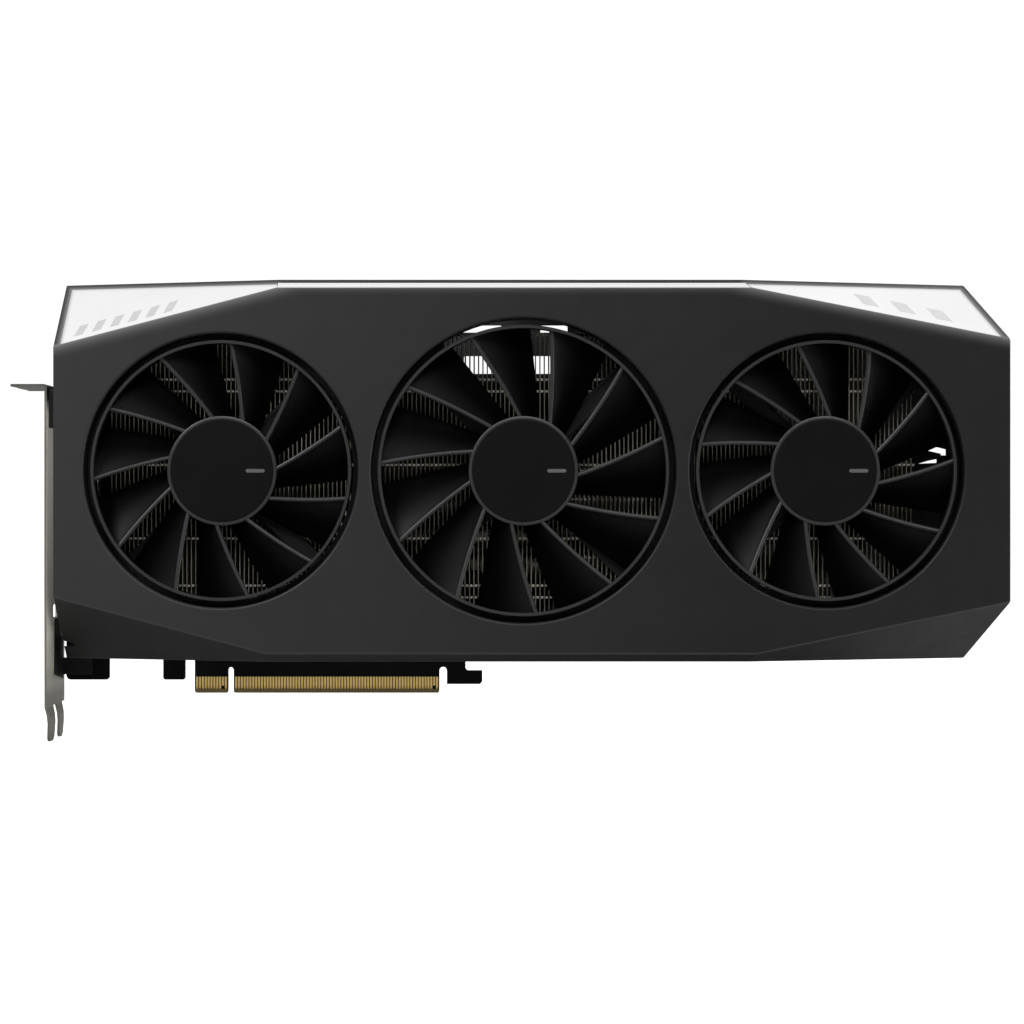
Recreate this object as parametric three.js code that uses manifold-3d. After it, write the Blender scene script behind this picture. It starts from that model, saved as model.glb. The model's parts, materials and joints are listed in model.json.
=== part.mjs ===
// A three-fan graphics card, about 335 mm long: shroud, fans, heatsink, circuit board and slot bracket.
// Millimetres. +X runs from the bracket to the far end, +Y from the fans to the backplate, +Z from the
// edge connector to the top edge. The origin is the centre of the edge connector's long tongue, on its
// bottom edge and in the middle of the board's thickness.
import * as THREE from 'three';
import { mergeVertices } from 'three/addons/utils/BufferGeometryUtils.js';
import Module from 'manifold-3d';

const wasm = await Module();
wasm.setup();

// ---- Driving dimensions ----
const BOARD_HALF = 0.8;                                  // half of the circuit board's thickness
const FRONT = -42.8;                                     // Y of the shroud's front face
const REAR = 2.5;                                        // Y of the shroud's rear rim
const SHROUD = { left: -92.16, right: 227.6, bottom: 12.8, top: 140.9, wall: 2 };
const CREASE = { top: 137.9, bottom: 15.6, depth: 3.9 }; // where the front face turns into its long chamfers
const CORNER = { inset: 11.1, drop: 20.1 };              // the two cut corners at the far end
const FACET_DEPTH = 29.5;                                // how far back the corner facets reach
const FAN_Z = 76.84;
const FANS = [
  { side: 'left', x: -36.3, bore: 46, phase: 100.2 },
  { side: 'middle', x: 64.95, bore: 51.1, phase: 93.3 },
  { side: 'right', x: 166.3, bore: 46, phase: 84.6 },
];
const BLADES = 11;
const TIP_GAP = 2.2;                                     // between the rotor's ring and the bore
const LIP_DEPTH = 11.2;                                  // the bore's inner lip, just behind the rotor's ring
const HUB_RADIUS = 18.4;
const HUB_DEPTH = 5.1;                                   // hub face below the shroud's front
const FRAME_FRONT = -29.3;                               // Y of the fan frames' front face
const FRAME_THICK = 2;
const FINS = {
  left: -75, right: 201, bottom: 22, top: 124, front: -25.8, rear: -9.8, pitch: 7.6, thick: 0.8,
};
const GPU = { x: 22, z: 60 };
const SCREW_REACH = 32;                                  // cooler screws, from the processor's centre
const BRACKET = { inner: -95.35, outer: -96.21, front: -35.6, rear: 3.2, top: 106.1 };
const PRONG = { root: -2.8, tip: -14.5 };
const LUG = { bottom: 91.4, top: 104.5, front: -33, rear: -10 };
const BRACKET_SCREWS_Y = [-28, -15];
const PORT = { mouth: -97, back: -82, opening: 4.8, wall: 0.8 };
const PORTS = [
  { name: 'hdmi_port', z: 28, width: 14.4 },
  { name: 'display_port_1', z: 46.5, width: 16 },
  { name: 'display_port_2', z: 65.5, width: 16 },
  { name: 'display_port_3', z: 84.5, width: 16 },
];
const BACKPLATE = { left: -90, right: 225, bottom: 13.5, top: 140, front: 2.8, rear: 4 };
const GAP = 0.3;                                         // clearance between fitted pieces
const BORE_SIDES = 36;                                   // sides of a fan bore
const ROTOR_SIDES = 33;                                  // sides of a rotor's rounds, three for each blade
const PIN_SIDES = 12;                                    // sides of a shaft or hole
const POST_SIDES = 8;                                    // sides of a screw or post

// ---- Materials ----
function material(color, roughness, metalness = 0) {
  return new THREE.MeshStandardMaterial({ color, roughness, metalness });
}
const FINISH = {
  shell: material(0x2e2e2e, 0.55),
  light: material(0xf4f4f6, 0.35),
  blade: material(0x151515, 0.45),
  frame: material(0x121212, 0.6),
  board: material(0x0e0f10, 0.5),
  gold: material(0x97793f, 0.35, 1),
  fin: material(0x9a958a, 0.4, 1),
  copper: material(0xb0643c, 0.35, 1),
  steel: material(0x8e8b84, 0.35, 1),
  silicon: material(0x2a2c33, 0.2, 0.3),
  chip: material(0x17181a, 0.6),
  backplate: material(0x1b1b1c, 0.5, 0.6),
  lead: material(0x101010, 0.7),
};

// ---- Geometry helpers ----
// Merges shared corners, drops collapsed triangles and turns the faces outwards.
function weld(geometry) {
  const bare = geometry.clone();
  bare.deleteAttribute('normal');
  bare.deleteAttribute('uv');
  const merged = mergeVertices(bare, 1e-4);
  const index = merged.index.array;
  const position = merged.attributes.position;
  const corner = [new THREE.Vector3(), new THREE.Vector3(), new THREE.Vector3()];
  const faces = [];
  let volume = 0;
  for (let i = 0; i < index.length; i += 3) {
    const face = [index[i], index[i + 1], index[i + 2]];
    if (new Set(face).size < 3) continue;
    face.forEach((vertex, k) => corner[k].fromBufferAttribute(position, vertex));
    volume += corner[0].dot(corner[1].cross(corner[2]));
    faces.push(face);
  }
  merged.setIndex(faces.flatMap(([a, b, c]) => (volume < 0 ? [a, c, b] : [a, b, c])));
  return merged;
}

function toSolid(geometry) {
  const welded = weld(geometry);
  return new wasm.Manifold(new wasm.Mesh({
    numProp: 3,
    vertProperties: Float32Array.from(welded.attributes.position.array),
    triVerts: Uint32Array.from(welded.index.array),
  }));
}

function toGeometry(solid) {
  const mesh = solid.getMesh();
  const geometry = new THREE.BufferGeometry();
  geometry.setAttribute('position', new THREE.BufferAttribute(mesh.vertProperties, 3));
  geometry.setIndex(new THREE.BufferAttribute(mesh.triVerts, 1));
  return geometry;
}

const join = (...shapes) => toGeometry(shapes.map(toSolid).reduce((all, next) => all.add(next)));
const cut = (base, ...tools) => (
  toGeometry(tools.map(toSolid).reduce((left, tool) => left.subtract(tool), toSolid(base)))
);

function block([x0, x1], [y0, y1], [z0, z1]) {
  const geometry = new THREE.BoxGeometry(x1 - x0, y1 - y0, z1 - z0);
  return geometry.translate((x0 + x1) / 2, (y0 + y1) / 2, (z0 + z1) / 2);
}

// A body of revolution about a line along Y, from [radius, y] points.
function spin(profile, x, z, sides) {
  const points = profile.map(([radius, y]) => new THREE.Vector2(radius, y));
  return new THREE.LatheGeometry(points, sides).translate(x, 0, z);
}

function rodY(radius, x, z, y0, y1, sides = PIN_SIDES) {
  return new THREE.CylinderGeometry(radius, radius, y1 - y0, sides).translate(x, (y0 + y1) / 2, z);
}

function rodX(radius, y, z, x0, x1, sides = PIN_SIDES) {
  return new THREE.CylinderGeometry(radius, radius, x1 - x0, sides).rotateZ(Math.PI / 2)
    .translate((x0 + x1) / 2, y, z);
}

function outline(points) {
  return new THREE.Shape(points.map(([a, b]) => new THREE.Vector2(a, b)));
}

// An outline in X and Z, extruded between two Y planes.
function slabY(shape, y0, y1, curveSegments = 6) {
  const geometry = new THREE.ExtrudeGeometry(shape, { depth: y1 - y0, bevelEnabled: false, curveSegments });
  return geometry.rotateX(Math.PI / 2).translate(0, y1, 0);
}

// An outline in Y and Z, extruded between two X planes.
function slabX(shape, x0, x1, curveSegments = 6) {
  const geometry = new THREE.ExtrudeGeometry(shape, { depth: x1 - x0, bevelEnabled: false, curveSegments });
  const turn = new THREE.Matrix4().makeBasis(
    new THREE.Vector3(0, 1, 0),
    new THREE.Vector3(0, 0, 1),
    new THREE.Vector3(1, 0, 0),
  );
  return geometry.applyMatrix4(turn).translate(x0, 0, 0);
}

const card = new THREE.Group();

function piece(name, geometry, finish) {
  const mesh = new THREE.Mesh(geometry, finish.clone());
  mesh.name = name;
  card.add(mesh);
}

// ---- Shroud ----
const at = (x, depth, z) => new THREE.Vector3(x, FRONT + depth, z);
const cornerX = SHROUD.right - CORNER.inset;
const cornerTop = SHROUD.top - CORNER.drop;
const cornerBottom = SHROUD.bottom + CORNER.drop;

// Each plane that trims the shroud's box is given by three points on it.
const TRIMS = {
  topChamfer: [at(0, 0, CREASE.top), at(100, 0, CREASE.top), at(0, CREASE.depth, SHROUD.top)],
  bottomChamfer: [at(0, 0, CREASE.bottom), at(100, 0, CREASE.bottom), at(0, CREASE.depth, SHROUD.bottom)],
  topLeft: [at(-17.4, 0, CREASE.top), at(SHROUD.left, 0, 118.3), at(SHROUD.left, FACET_DEPTH, SHROUD.top)],
  topRight: [at(141.2, 0, CREASE.top), at(SHROUD.right, 0, cornerTop), at(cornerX, FACET_DEPTH, SHROUD.top)],
  bottomLeft: [
    at(-21, 0, CREASE.bottom),
    at(SHROUD.left, 0, 34.5),
    at(SHROUD.left, FACET_DEPTH, SHROUD.bottom),
  ],
  bottomRight: [
    at(142.9, 0, CREASE.bottom),
    at(SHROUD.right, 0, cornerBottom),
    at(cornerX, FACET_DEPTH, SHROUD.bottom),
  ],
  topCorner: [at(SHROUD.right, 0, cornerTop), at(SHROUD.right, 20, cornerTop), at(cornerX, 0, SHROUD.top)],
  bottomCorner: [
    at(SHROUD.right, 0, cornerBottom),
    at(SHROUD.right, 20, cornerBottom),
    at(cornerX, 0, SHROUD.bottom),
  ],
};
const CENTRE = new THREE.Vector3((SHROUD.left + SHROUD.right) / 2, -10, (SHROUD.bottom + SHROUD.top) / 2);

function outwardNormal([a, b, c]) {
  const normal = b.clone().sub(a).cross(c.clone().sub(a)).normalize();
  return normal.dot(a.clone().sub(CENTRE)) < 0 ? normal.negate() : normal;
}

// A large block that covers everything outside a trimming plane moved inwards by the inset.
function beyond(points, inset) {
  const reach = 500;
  const normal = outwardNormal(points);
  const slab = new THREE.BoxGeometry(reach, reach, reach).translate(0, 0, reach / 2 - inset);
  slab.applyQuaternion(new THREE.Quaternion().setFromUnitVectors(new THREE.Vector3(0, 0, 1), normal));
  return slab.translate(points[0].x, points[0].y, points[0].z);
}

function envelope(inset, rear) {
  const box = block(
    [SHROUD.left + inset, SHROUD.right - inset],
    [FRONT + inset, rear],
    [SHROUD.bottom + inset, SHROUD.top - inset],
  );
  return cut(box, ...Object.values(TRIMS).map((points) => beyond(points, inset)));
}

// A flat plate on one facet: its corners are given in order, each edge is moved inwards by its margin.
function facetPlate(corners, margins, thickness, proud = 0) {
  const normal = outwardNormal(corners);
  const across = corners[1].clone().sub(corners[0]).normalize();
  const up = normal.clone().cross(across);
  const flat = corners.map((point) => {
    const offset = point.clone().sub(corners[0]);
    return new THREE.Vector2(offset.dot(across), offset.dot(up));
  });
  const turn = THREE.ShapeUtils.area(flat) > 0 ? 1 : -1;
  const lines = flat.map((point, i) => {
    const along = flat[(i + 1) % flat.length].clone().sub(point).normalize();
    const inward = new THREE.Vector2(-along.y, along.x).multiplyScalar(turn * margins[i]);
    return { point: point.clone().add(inward), along };
  });
  const shape = new THREE.Shape(lines.map((line, i) => {
    const before = lines[(i + lines.length - 1) % lines.length];
    const gap = line.point.clone().sub(before.point);
    const step = gap.cross(line.along) / before.along.cross(line.along);
    return before.point.clone().addScaledVector(before.along, step);
  }));
  const plate = new THREE.ExtrudeGeometry(shape, { depth: thickness + proud, bevelEnabled: false });
  plate.translate(0, 0, -thickness);
  const place = new THREE.Matrix4().makeBasis(across, up, normal).setPosition(corners[0]);
  return plate.applyMatrix4(place);
}

// Where a corner facet's mitre with the top chamfer meets the top wall.
function mitreEnd(facet) {
  const normal = outwardNormal(facet);
  const start = facet[0];
  const rise = SHROUD.top - start.z;
  const x = start.x - (normal.y * CREASE.depth + normal.z * rise) / normal.x;
  return at(x, CREASE.depth, SHROUD.top);
}

const leftMitre = mitreEnd(TRIMS.topLeft);
const rightMitre = mitreEnd(TRIMS.topRight);
const EDGE_BORDER = 2.1;                                 // dark border round the lit corner panels
const STRIP_BORDER = 1.5;                                // dark border behind the lit strip
const PANEL_THICK = 1.6;
const LIT_PANELS = [
  {
    name: 'diffuser_left',
    corners: [TRIMS.topLeft[0], TRIMS.topLeft[1], TRIMS.topLeft[2], leftMitre],
    margins: [0.4, EDGE_BORDER, EDGE_BORDER, 0.9],
  },
  {
    name: 'diffuser_strip',
    corners: [TRIMS.topLeft[0], TRIMS.topRight[0], rightMitre, leftMitre],
    margins: [0.4, 0.9, STRIP_BORDER, 0.9],
  },
  {
    name: 'diffuser_right',
    corners: [TRIMS.topRight[0], TRIMS.topRight[1], TRIMS.topRight[2], rightMitre],
    margins: [0.4, EDGE_BORDER, EDGE_BORDER, 0.9],
  },
];

function earPlaces(fan) {
  const reach = fan.bore + 6.5;
  return [45, 135, 225, 315].map((degrees) => {
    const angle = THREE.MathUtils.degToRad(degrees);
    return [fan.x + reach * Math.cos(angle), FAN_Z + reach * Math.sin(angle), angle];
  });
}

function boreCutter({ x, bore }) {
  const chamfer = 0.8;
  const lip = bore - 2;
  const profile = [
    [0, FRONT - 1], [bore + chamfer + 1, FRONT - 1], [bore, FRONT + chamfer],
    [bore, FRONT + LIP_DEPTH], [lip, FRONT + LIP_DEPTH], [lip, FRONT + 13], [0, FRONT + 13],
  ];
  return spin(profile, x, FAN_Z, BORE_SIDES);
}

// A row of air windows through the top or bottom wall.
function airWindows(firsts, z0, z1) {
  return firsts.map((x) => block([x, x + 26], [-24, -8], [z0, z1]));
}

function makeShroud() {
  const shell = cut(envelope(0, REAR), envelope(SHROUD.wall, REAR + 10));
  const collars = FANS.map((fan) => rodY(fan.bore + 1.5, fan.x, FAN_Z, FRONT + 1, FRONT + 12.2, BORE_SIDES));
  const bosses = FANS.flatMap((fan) => (
    earPlaces(fan).map(([x, z]) => rodY(3.2, x, z, FRONT + 1, FRAME_FRONT - GAP, POST_SIDES))
  ));
  const lug = block([BRACKET.inner + 0.2, SHROUD.left + 1.5], [LUG.front, LUG.rear], [LUG.bottom, LUG.top]);
  const solid = join(shell, ...collars, ...bosses, lug);
  const windows = LIT_PANELS.map(({ corners, margins }) => (
    facetPlate(corners, margins.map((margin) => margin - GAP), 6, 1)
  ));
  return cut(
    solid,
    ...FANS.map(boreCutter),
    ...windows,
    block([FANS[1].x - 27, FANS[1].x + 27], [FRONT + LIP_DEPTH, FRONT + 13], [FAN_Z + 40, SHROUD.top - 6]),
    ...airWindows([-54, -24, 6, 36, 132], SHROUD.top - 4, SHROUD.top + 1),
    ...airWindows([62, 92, 122, 152], SHROUD.bottom - 1, SHROUD.bottom + 4),
    block([-100, 96], [-1.5, 10], [0, 130]),                         // room for the circuit board's edges
    block([-100, SHROUD.left + 4], [-22, 0], [17, 94.5]),            // bay for the display sockets
    block([89, 127], [-18, 10], [SHROUD.top - 4, SHROUD.top + 1]),   // way in for the power plug
    ...BRACKET_SCREWS_Y.map((y) => rodX(1.4, y, 98, BRACKET.inner - 1, SHROUD.left + 5)),
  );
}

piece('shroud', makeShroud(), FINISH.shell);
LIT_PANELS.forEach(({ name, corners, margins }) => {
  piece(name, facetPlate(corners, margins, PANEL_THICK), FINISH.light);
});
piece('led_board', block([-10, 134], [-38, -37], [130.6, 136.4]), FINISH.board);

// ---- Fans ----
// The angle at a radius of a straight line that passes 9.1 mm from the axis: a blade's leading edge.
const lineAngle = (radius) => Math.acos(9.1 / radius);

// A box bent into one blade: across its radius, along its chord and through its thickness.
function makeBlade(fan, number) {
  const inner = HUB_RADIUS - 0.8;
  const outer = fan.bore - TIP_GAP - 0.6;
  const blade = new THREE.BoxGeometry(1, 1, 1, 3, 2, 1);
  const position = blade.attributes.position;
  const lead = { hub: HUB_DEPTH + 0.9, tip: 3 };
  const trail = 11.4;
  for (let i = 0; i < position.count; i += 1) {
    const span = position.getX(i) + 0.5;
    const chord = position.getY(i) + 0.5;
    const radius = THREE.MathUtils.lerp(inner, outer, span);
    const straight = (lineAngle(radius) - lineAngle(inner)) / (lineAngle(outer) - lineAngle(inner));
    const sweep = 19 * THREE.MathUtils.lerp(span, straight, 0.75);
    const angle = fan.phase + number * (360 / BLADES) + sweep - chord * THREE.MathUtils.lerp(21.5, 25, span);
    const start = THREE.MathUtils.lerp(lead.hub, lead.tip, span);
    const depth = THREE.MathUtils.lerp(start, trail, Math.pow(chord, 0.8)) + position.getZ(i) * 1.1;
    const turn = THREE.MathUtils.degToRad(angle);
    position.setXYZ(i, fan.x + radius * Math.cos(turn), FRONT + depth, FAN_Z + radius * Math.sin(turn));
  }
  return blade;
}

function makeRotor(fan) {
  const face = FRONT + HUB_DEPTH;
  const cup = [
    [1.8, face + 0.9], [HUB_RADIUS - 0.8, face + 0.9], [HUB_RADIUS - 0.8, face + 0.1],
    [HUB_RADIUS, face + 0.7], [HUB_RADIUS, -30.3], [HUB_RADIUS - 1.6, -30.3],
    [HUB_RADIUS - 1.6, face + 2.4], [1.8, face + 2.4], [1.8, face + 0.9],
  ];
  const edge = fan.bore - TIP_GAP;
  const ring = [
    [edge - 1.2, FRONT + 1.4], [edge, FRONT + 1.4], [edge, FRONT + 10.4], [edge - 1.2, FRONT + 10.4],
    [edge - 1.2, FRONT + 1.4],
  ];
  const blades = Array.from({ length: BLADES }, (_, number) => makeBlade(fan, number));
  return join(spin(cup, fan.x, FAN_Z, ROTOR_SIDES), spin(ring, fan.x, FAN_Z, ROTOR_SIDES), ...blades);
}

function makeStator(fan) {
  const teeth = 6;
  const points = [];
  for (let i = 0; i < teeth * 4; i += 1) {
    const angle = ((i + 0.5) / (teeth * 4)) * 2 * Math.PI;
    const radius = i % 4 < 2 ? 15 : 8;
    points.push([fan.x + radius * Math.cos(angle), FAN_Z + radius * Math.sin(angle)]);
  }
  return cut(slabY(outline(points), -34.4, -30.4), rodY(3.6, fan.x, FAN_Z, -36, -29));
}

function makeFrame(fan) {
  const rear = FRAME_FRONT + FRAME_THICK;
  const base = rodY(17, fan.x, FAN_Z, FRAME_FRONT, rear, 24);
  const arms = earPlaces(fan).flatMap(([x, z, angle]) => {
    const reach = fan.bore + 6.5;
    const arm = block([12, reach], [FRAME_FRONT, rear], [-3, 3]).rotateY(-angle).translate(fan.x, 0, FAN_Z);
    return [arm, rodY(4.2, x, z, FRAME_FRONT, rear, POST_SIDES)];
  });
  return join(base, ...arms);
}

FANS.forEach((fan) => {
  const face = FRONT + HUB_DEPTH;
  const sleeve = [[1.6, -35], [3.2, -35], [3.2, FRAME_FRONT], [1.6, FRAME_FRONT], [1.6, -35]];
  const cap = rodY(HUB_RADIUS - 1, fan.x, FAN_Z, face, face + 0.9, ROTOR_SIDES);
  piece(`${fan.side}_rotor`, makeRotor(fan), FINISH.blade);
  piece(`${fan.side}_hub_cap`, cap, FINISH.shell);
  piece(`${fan.side}_shaft`, rodY(1.5, fan.x, FAN_Z, face + 0.9, FRAME_FRONT - GAP), FINISH.steel);
  piece(`${fan.side}_bearing`, spin(sleeve, fan.x, FAN_Z, PIN_SIDES), FINISH.copper);
  piece(`${fan.side}_stator`, makeStator(fan), FINISH.copper);
  piece(`${fan.side}_fan_frame`, makeFrame(fan), FINISH.frame);
});

// ---- Circuit board ----
const TONGUE = { left: -49.375, keyLeft: -37.725, keyRight: -35.825, right: 35.825, shoulder: 13.4 };
const BOARD = { left: -94.1, right: 95, top: 108, wingRight: 121, wingBottom: 100, wingTop: 127 };
const PLUG_X = 108;                                      // centre of the power connector

function boardOutline() {
  const shape = new THREE.Shape();
  shape.moveTo(BOARD.left, 6.1);
  shape.absarc(BOARD.left + 1.5, 6.1, 1.5, Math.PI, 1.5 * Math.PI);
  shape.lineTo(-79.1, 4.6);
  shape.lineTo(-79.1, TONGUE.shoulder);
  shape.lineTo(-60.4, TONGUE.shoulder);
  shape.lineTo(-60.4, 4.6);
  shape.lineTo(-52.7, 4.6);
  shape.lineTo(-52.7, TONGUE.shoulder);
  shape.lineTo(TONGUE.left, TONGUE.shoulder);
  shape.lineTo(TONGUE.left, 0);
  shape.lineTo(TONGUE.keyLeft, 0);
  shape.lineTo(TONGUE.keyLeft, 8);
  shape.absarc((TONGUE.keyLeft + TONGUE.keyRight) / 2, 8, 0.95, Math.PI, 0, true);
  shape.lineTo(TONGUE.keyRight, 0);
  shape.lineTo(TONGUE.right, 0);
  shape.lineTo(TONGUE.right, 7.8);
  shape.absarc(TONGUE.right + 1.3, 7.8, 1.3, Math.PI, 0, true);
  shape.lineTo(TONGUE.right + 2.6, 3.07);
  shape.lineTo(50.1, 3.07);
  shape.lineTo(50.75, 3.8);
  shape.lineTo(50.75, 7.85);
  shape.lineTo(45.9, 7.85);
  shape.absarc(45.9, 8.85, 1, 1.5 * Math.PI, Math.PI, true);
  shape.lineTo(44.9, TONGUE.shoulder);
  shape.lineTo(BOARD.right, TONGUE.shoulder);
  shape.lineTo(BOARD.right, BOARD.wingBottom);
  shape.lineTo(BOARD.wingRight, BOARD.wingBottom);
  shape.lineTo(BOARD.wingRight, BOARD.wingTop);
  shape.lineTo(BOARD.right, BOARD.wingTop);
  shape.lineTo(BOARD.right, BOARD.top);
  shape.lineTo(BOARD.left, BOARD.top);
  return shape;
}

const SCREW_PLACES = [[-1, -1], [1, -1], [1, 1], [-1, 1]].map(([across, up]) => (
  [GPU.x + across * SCREW_REACH, GPU.z + up * SCREW_REACH]
));
const screwHoles = () => SCREW_PLACES.map(([x, z]) => rodY(1.7, x, z, -8, 8, POST_SIDES));

piece('pcb', cut(slabY(boardOutline(), -BOARD_HALF, BOARD_HALF), ...screwHoles()), FINISH.board);

const CONTACT_THICK = 0.12;
const CONTACT_ROWS = [
  ['short', TONGUE.left + 0.35, TONGUE.keyLeft - 0.35],
  ['long', TONGUE.keyRight + 0.35, TONGUE.right - 0.35],
];
CONTACT_ROWS.forEach(([row, x0, x1]) => {
  const front = [-BOARD_HALF - CONTACT_THICK, -BOARD_HALF];
  const back = [BOARD_HALF, BOARD_HALF + CONTACT_THICK];
  piece(`edge_contacts_front_${row}`, block([x0, x1], front, [1.4, 5.65]), FINISH.gold);
  piece(`edge_contacts_back_${row}`, block([x0, x1], back, [1.4, 5.65]), FINISH.gold);
});

// A component soldered to the front of the board, centred at x and z.
function mounted(name, x, z, width, height, thick, finish, standoff = 0) {
  const rear = -BOARD_HALF - standoff;
  const body = new THREE.BoxGeometry(width, thick, height).translate(x, rear - thick / 2, z);
  piece(name, body, finish);
}

mounted('gpu_substrate', GPU.x, GPU.z, 45, 45, 1.2, FINISH.board);
mounted('gpu_die', GPU.x, GPU.z, 24, 20, 0.8, FINISH.silicon, 1.2);
[[-34, -13], [-34, 13], [34, -13], [34, 13]].forEach(([dx, dz], i) => {
  mounted(`memory_chip_${i + 1}`, GPU.x + dx, GPU.z + dz, 12, 14, 1.1, FINISH.chip);
});
[48, 60].forEach((z, i) => mounted(`choke_${i + 1}`, -42, z, 7, 7, 4, FINISH.chip));
mounted('fan_header', -70, 25, 8, 5, 5, FINISH.chip);

// The fans' lead runs in the channel under the fins, from the right fan's arm to the header.
function makeHarness() {
  const route = [
    [-65, -3.3, 25], [-58, -5, 21.5], [-44, -13, 18.4], [0, -16, 18.4], [60, -16, 18.4], [104, -17, 18.4],
    [118, -25, 18.6], [127, -28.2, 23], [129, -28.3, 33],
  ];
  const path = new THREE.CatmullRomCurve3(route.map((point) => new THREE.Vector3(...point)));
  const section = new THREE.Shape().absarc(0, 0, 1.2, 0, 2 * Math.PI);
  return new THREE.ExtrudeGeometry(section, { steps: 20, extrudePath: path, curveSegments: 4 });
}
piece('fan_harness', makeHarness(), FINISH.lead);

// ---- Sockets ----
function makePort({ z, width }) {
  const rear = -BOARD_HALF;
  const front = rear - PORT.opening - 2 * PORT.wall;
  const half = width / 2 + PORT.wall;
  const body = block([PORT.mouth, PORT.back], [front, rear], [z - half, z + half]);
  const mouth = block(
    [PORT.mouth - 1, PORT.back - 2],
    [front + PORT.wall, rear - PORT.wall],
    [z - width / 2, z + width / 2],
  );
  return cut(body, mouth);
}
PORTS.forEach((port) => piece(port.name, makePort(port), FINISH.steel));

function makePowerConnector() {
  const pitch = 4.2;
  const half = 2.45 * pitch;
  const body = block([PLUG_X - half, PLUG_X + half], [-10.4, -BOARD_HALF], [112, 127]);
  const cavities = [];
  for (let column = 0; column < 4; column += 1) {
    for (let row = 0; row < 2; row += 1) {
      const x = PLUG_X + (column - 1.5) * pitch;
      const y = -5.6 + (row - 0.5) * pitch;
      cavities.push(block([x - 1.7, x + 1.7], [y - 1.7, y + 1.7], [116, 128]));
    }
  }
  return cut(body, ...cavities);
}
piece('power_connector', makePowerConnector(), FINISH.chip);

piece('bios_switch_body', block([-31, -22], [BOARD_HALF, 2.4], [95.5, 100.5]), FINISH.chip);
piece('bios_switch_slider', block([-28.3, -26.3], [2.4, 4.4], [97, 99]), FINISH.light);

// ---- Heatsink ----
function makeFins() {
  const points = [];
  const baseFront = FINS.rear - 1;
  const count = Math.floor((FINS.right - FINS.left) / FINS.pitch);
  for (let i = 0; i <= count; i += 1) {
    const x = FINS.left + i * FINS.pitch;
    points.push([x, baseFront], [x, FINS.front], [x + FINS.thick, FINS.front], [x + FINS.thick, baseFront]);
  }
  const end = FINS.left + count * FINS.pitch + FINS.thick;
  points.push([end, FINS.rear], [FINS.left, FINS.rear]);
  const height = FINS.top - FINS.bottom;
  const comb = new THREE.ExtrudeGeometry(outline(points), { depth: height, bevelEnabled: false });
  return cut(
    comb.translate(0, 0, FINS.bottom),
    block([140, 196], [baseFront, 0], [31, 115]),           // open back where air blows straight through
    block([95, 121], [-12.5, 0], [108, 130]),               // room for the power connector
  );
}
piece('fin_stack', makeFins(), FINISH.fin);

[45, 55, 65, 75].forEach((z, i) => {
  const shape = new THREE.Shape();
  shape.absarc(-7.55, z - 1.7, 1.75, Math.PI, 2 * Math.PI);
  shape.absarc(-7.55, z + 1.7, 1.75, 0, Math.PI);
  piece(`heat_pipe_${i + 1}`, slabX(shape, -72 + 6 * i, 180 + 5 * i), FINISH.steel);
});
piece('cold_plate', block([-22, 66], [-5.8, -2.8], [24, 96]), FINISH.steel);

function makeRetentionPlate() {
  const half = SCREW_REACH + 4;
  const inner = 22;
  const plate = block([GPU.x - half, GPU.x + half], [BOARD_HALF, 2], [GPU.z - half, GPU.z + half]);
  const middle = block([GPU.x - inner, GPU.x + inner], [0, 3], [GPU.z - inner, GPU.z + inner]);
  return cut(plate, middle, ...screwHoles());
}
piece('retention_plate', makeRetentionPlate(), FINISH.steel);

// ---- Backplate ----
// Small windows beyond the end of the fins: [left, right, bottom, top].
const END_WINDOWS = [
  [209.6, 212.6, 87.6, 89.4],
  [206.6, 212.8, 82.8, 86.4],
  [203.2, 209.6, 79.9, 81.5],
  [208.6, 211.8, 63.2, 64.8],
];

// Slanted air slots behind the right fan.
function airSlot(x) {
  const lean = 14;
  return slabY(outline([[x, 34], [x + 7.5, 34], [x + 7.5 + lean, 118], [x + lean, 118]]), 0, 6);
}

function makeBackplate() {
  const across = 12;
  const up = 1.75 * across;
  const sheet = slabY(outline([
    [BACKPLATE.left, BACKPLATE.bottom],
    [BACKPLATE.right - across, BACKPLATE.bottom],
    [BACKPLATE.right, BACKPLATE.bottom + up],
    [BACKPLATE.right, BACKPLATE.top - up],
    [BACKPLATE.right - across, BACKPLATE.top],
    [BACKPLATE.left, BACKPLATE.top],
  ]), BACKPLATE.front, BACKPLATE.rear);
  const slots = Array.from({ length: 4 }, (_, i) => airSlot(140 + 12.5 * i));
  const windows = END_WINDOWS.map(([x0, x1, z0, z1]) => block([x0, x1], [0, 6], [z0, z1]));
  return cut(
    sheet,
    ...slots,
    ...windows,
    block([44.3, 78], [0, 6], [111.3, 117.5]),
    block([43.5, 57.5], [0, 6], [124.6, 128.2]),
    block([71, 80.5], [0, 6], [124.6, 128.2]),
    block([-32, -21], [0, 6], [94.5, 101.5]),
    ...screwHoles(),
  );
}
piece('backplate', makeBackplate(), FINISH.backplate);

SCREW_PLACES.forEach(([x, z], i) => {
  const profile = [[0, -2.5], [1.3, -2.5], [1.3, BACKPLATE.rear], [2.8, BACKPLATE.rear], [2.4, 5], [0, 5]];
  piece(`cooler_screw_${i + 1}`, spin(profile, x, z, POST_SIDES), FINISH.steel);
});

// ---- Slot bracket ----
function prong(y0, y1, lean) {
  return [[y0, PRONG.root], [y0 + lean, PRONG.tip], [y1 - 0.6, PRONG.tip], [y1, PRONG.root]];
}

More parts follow.
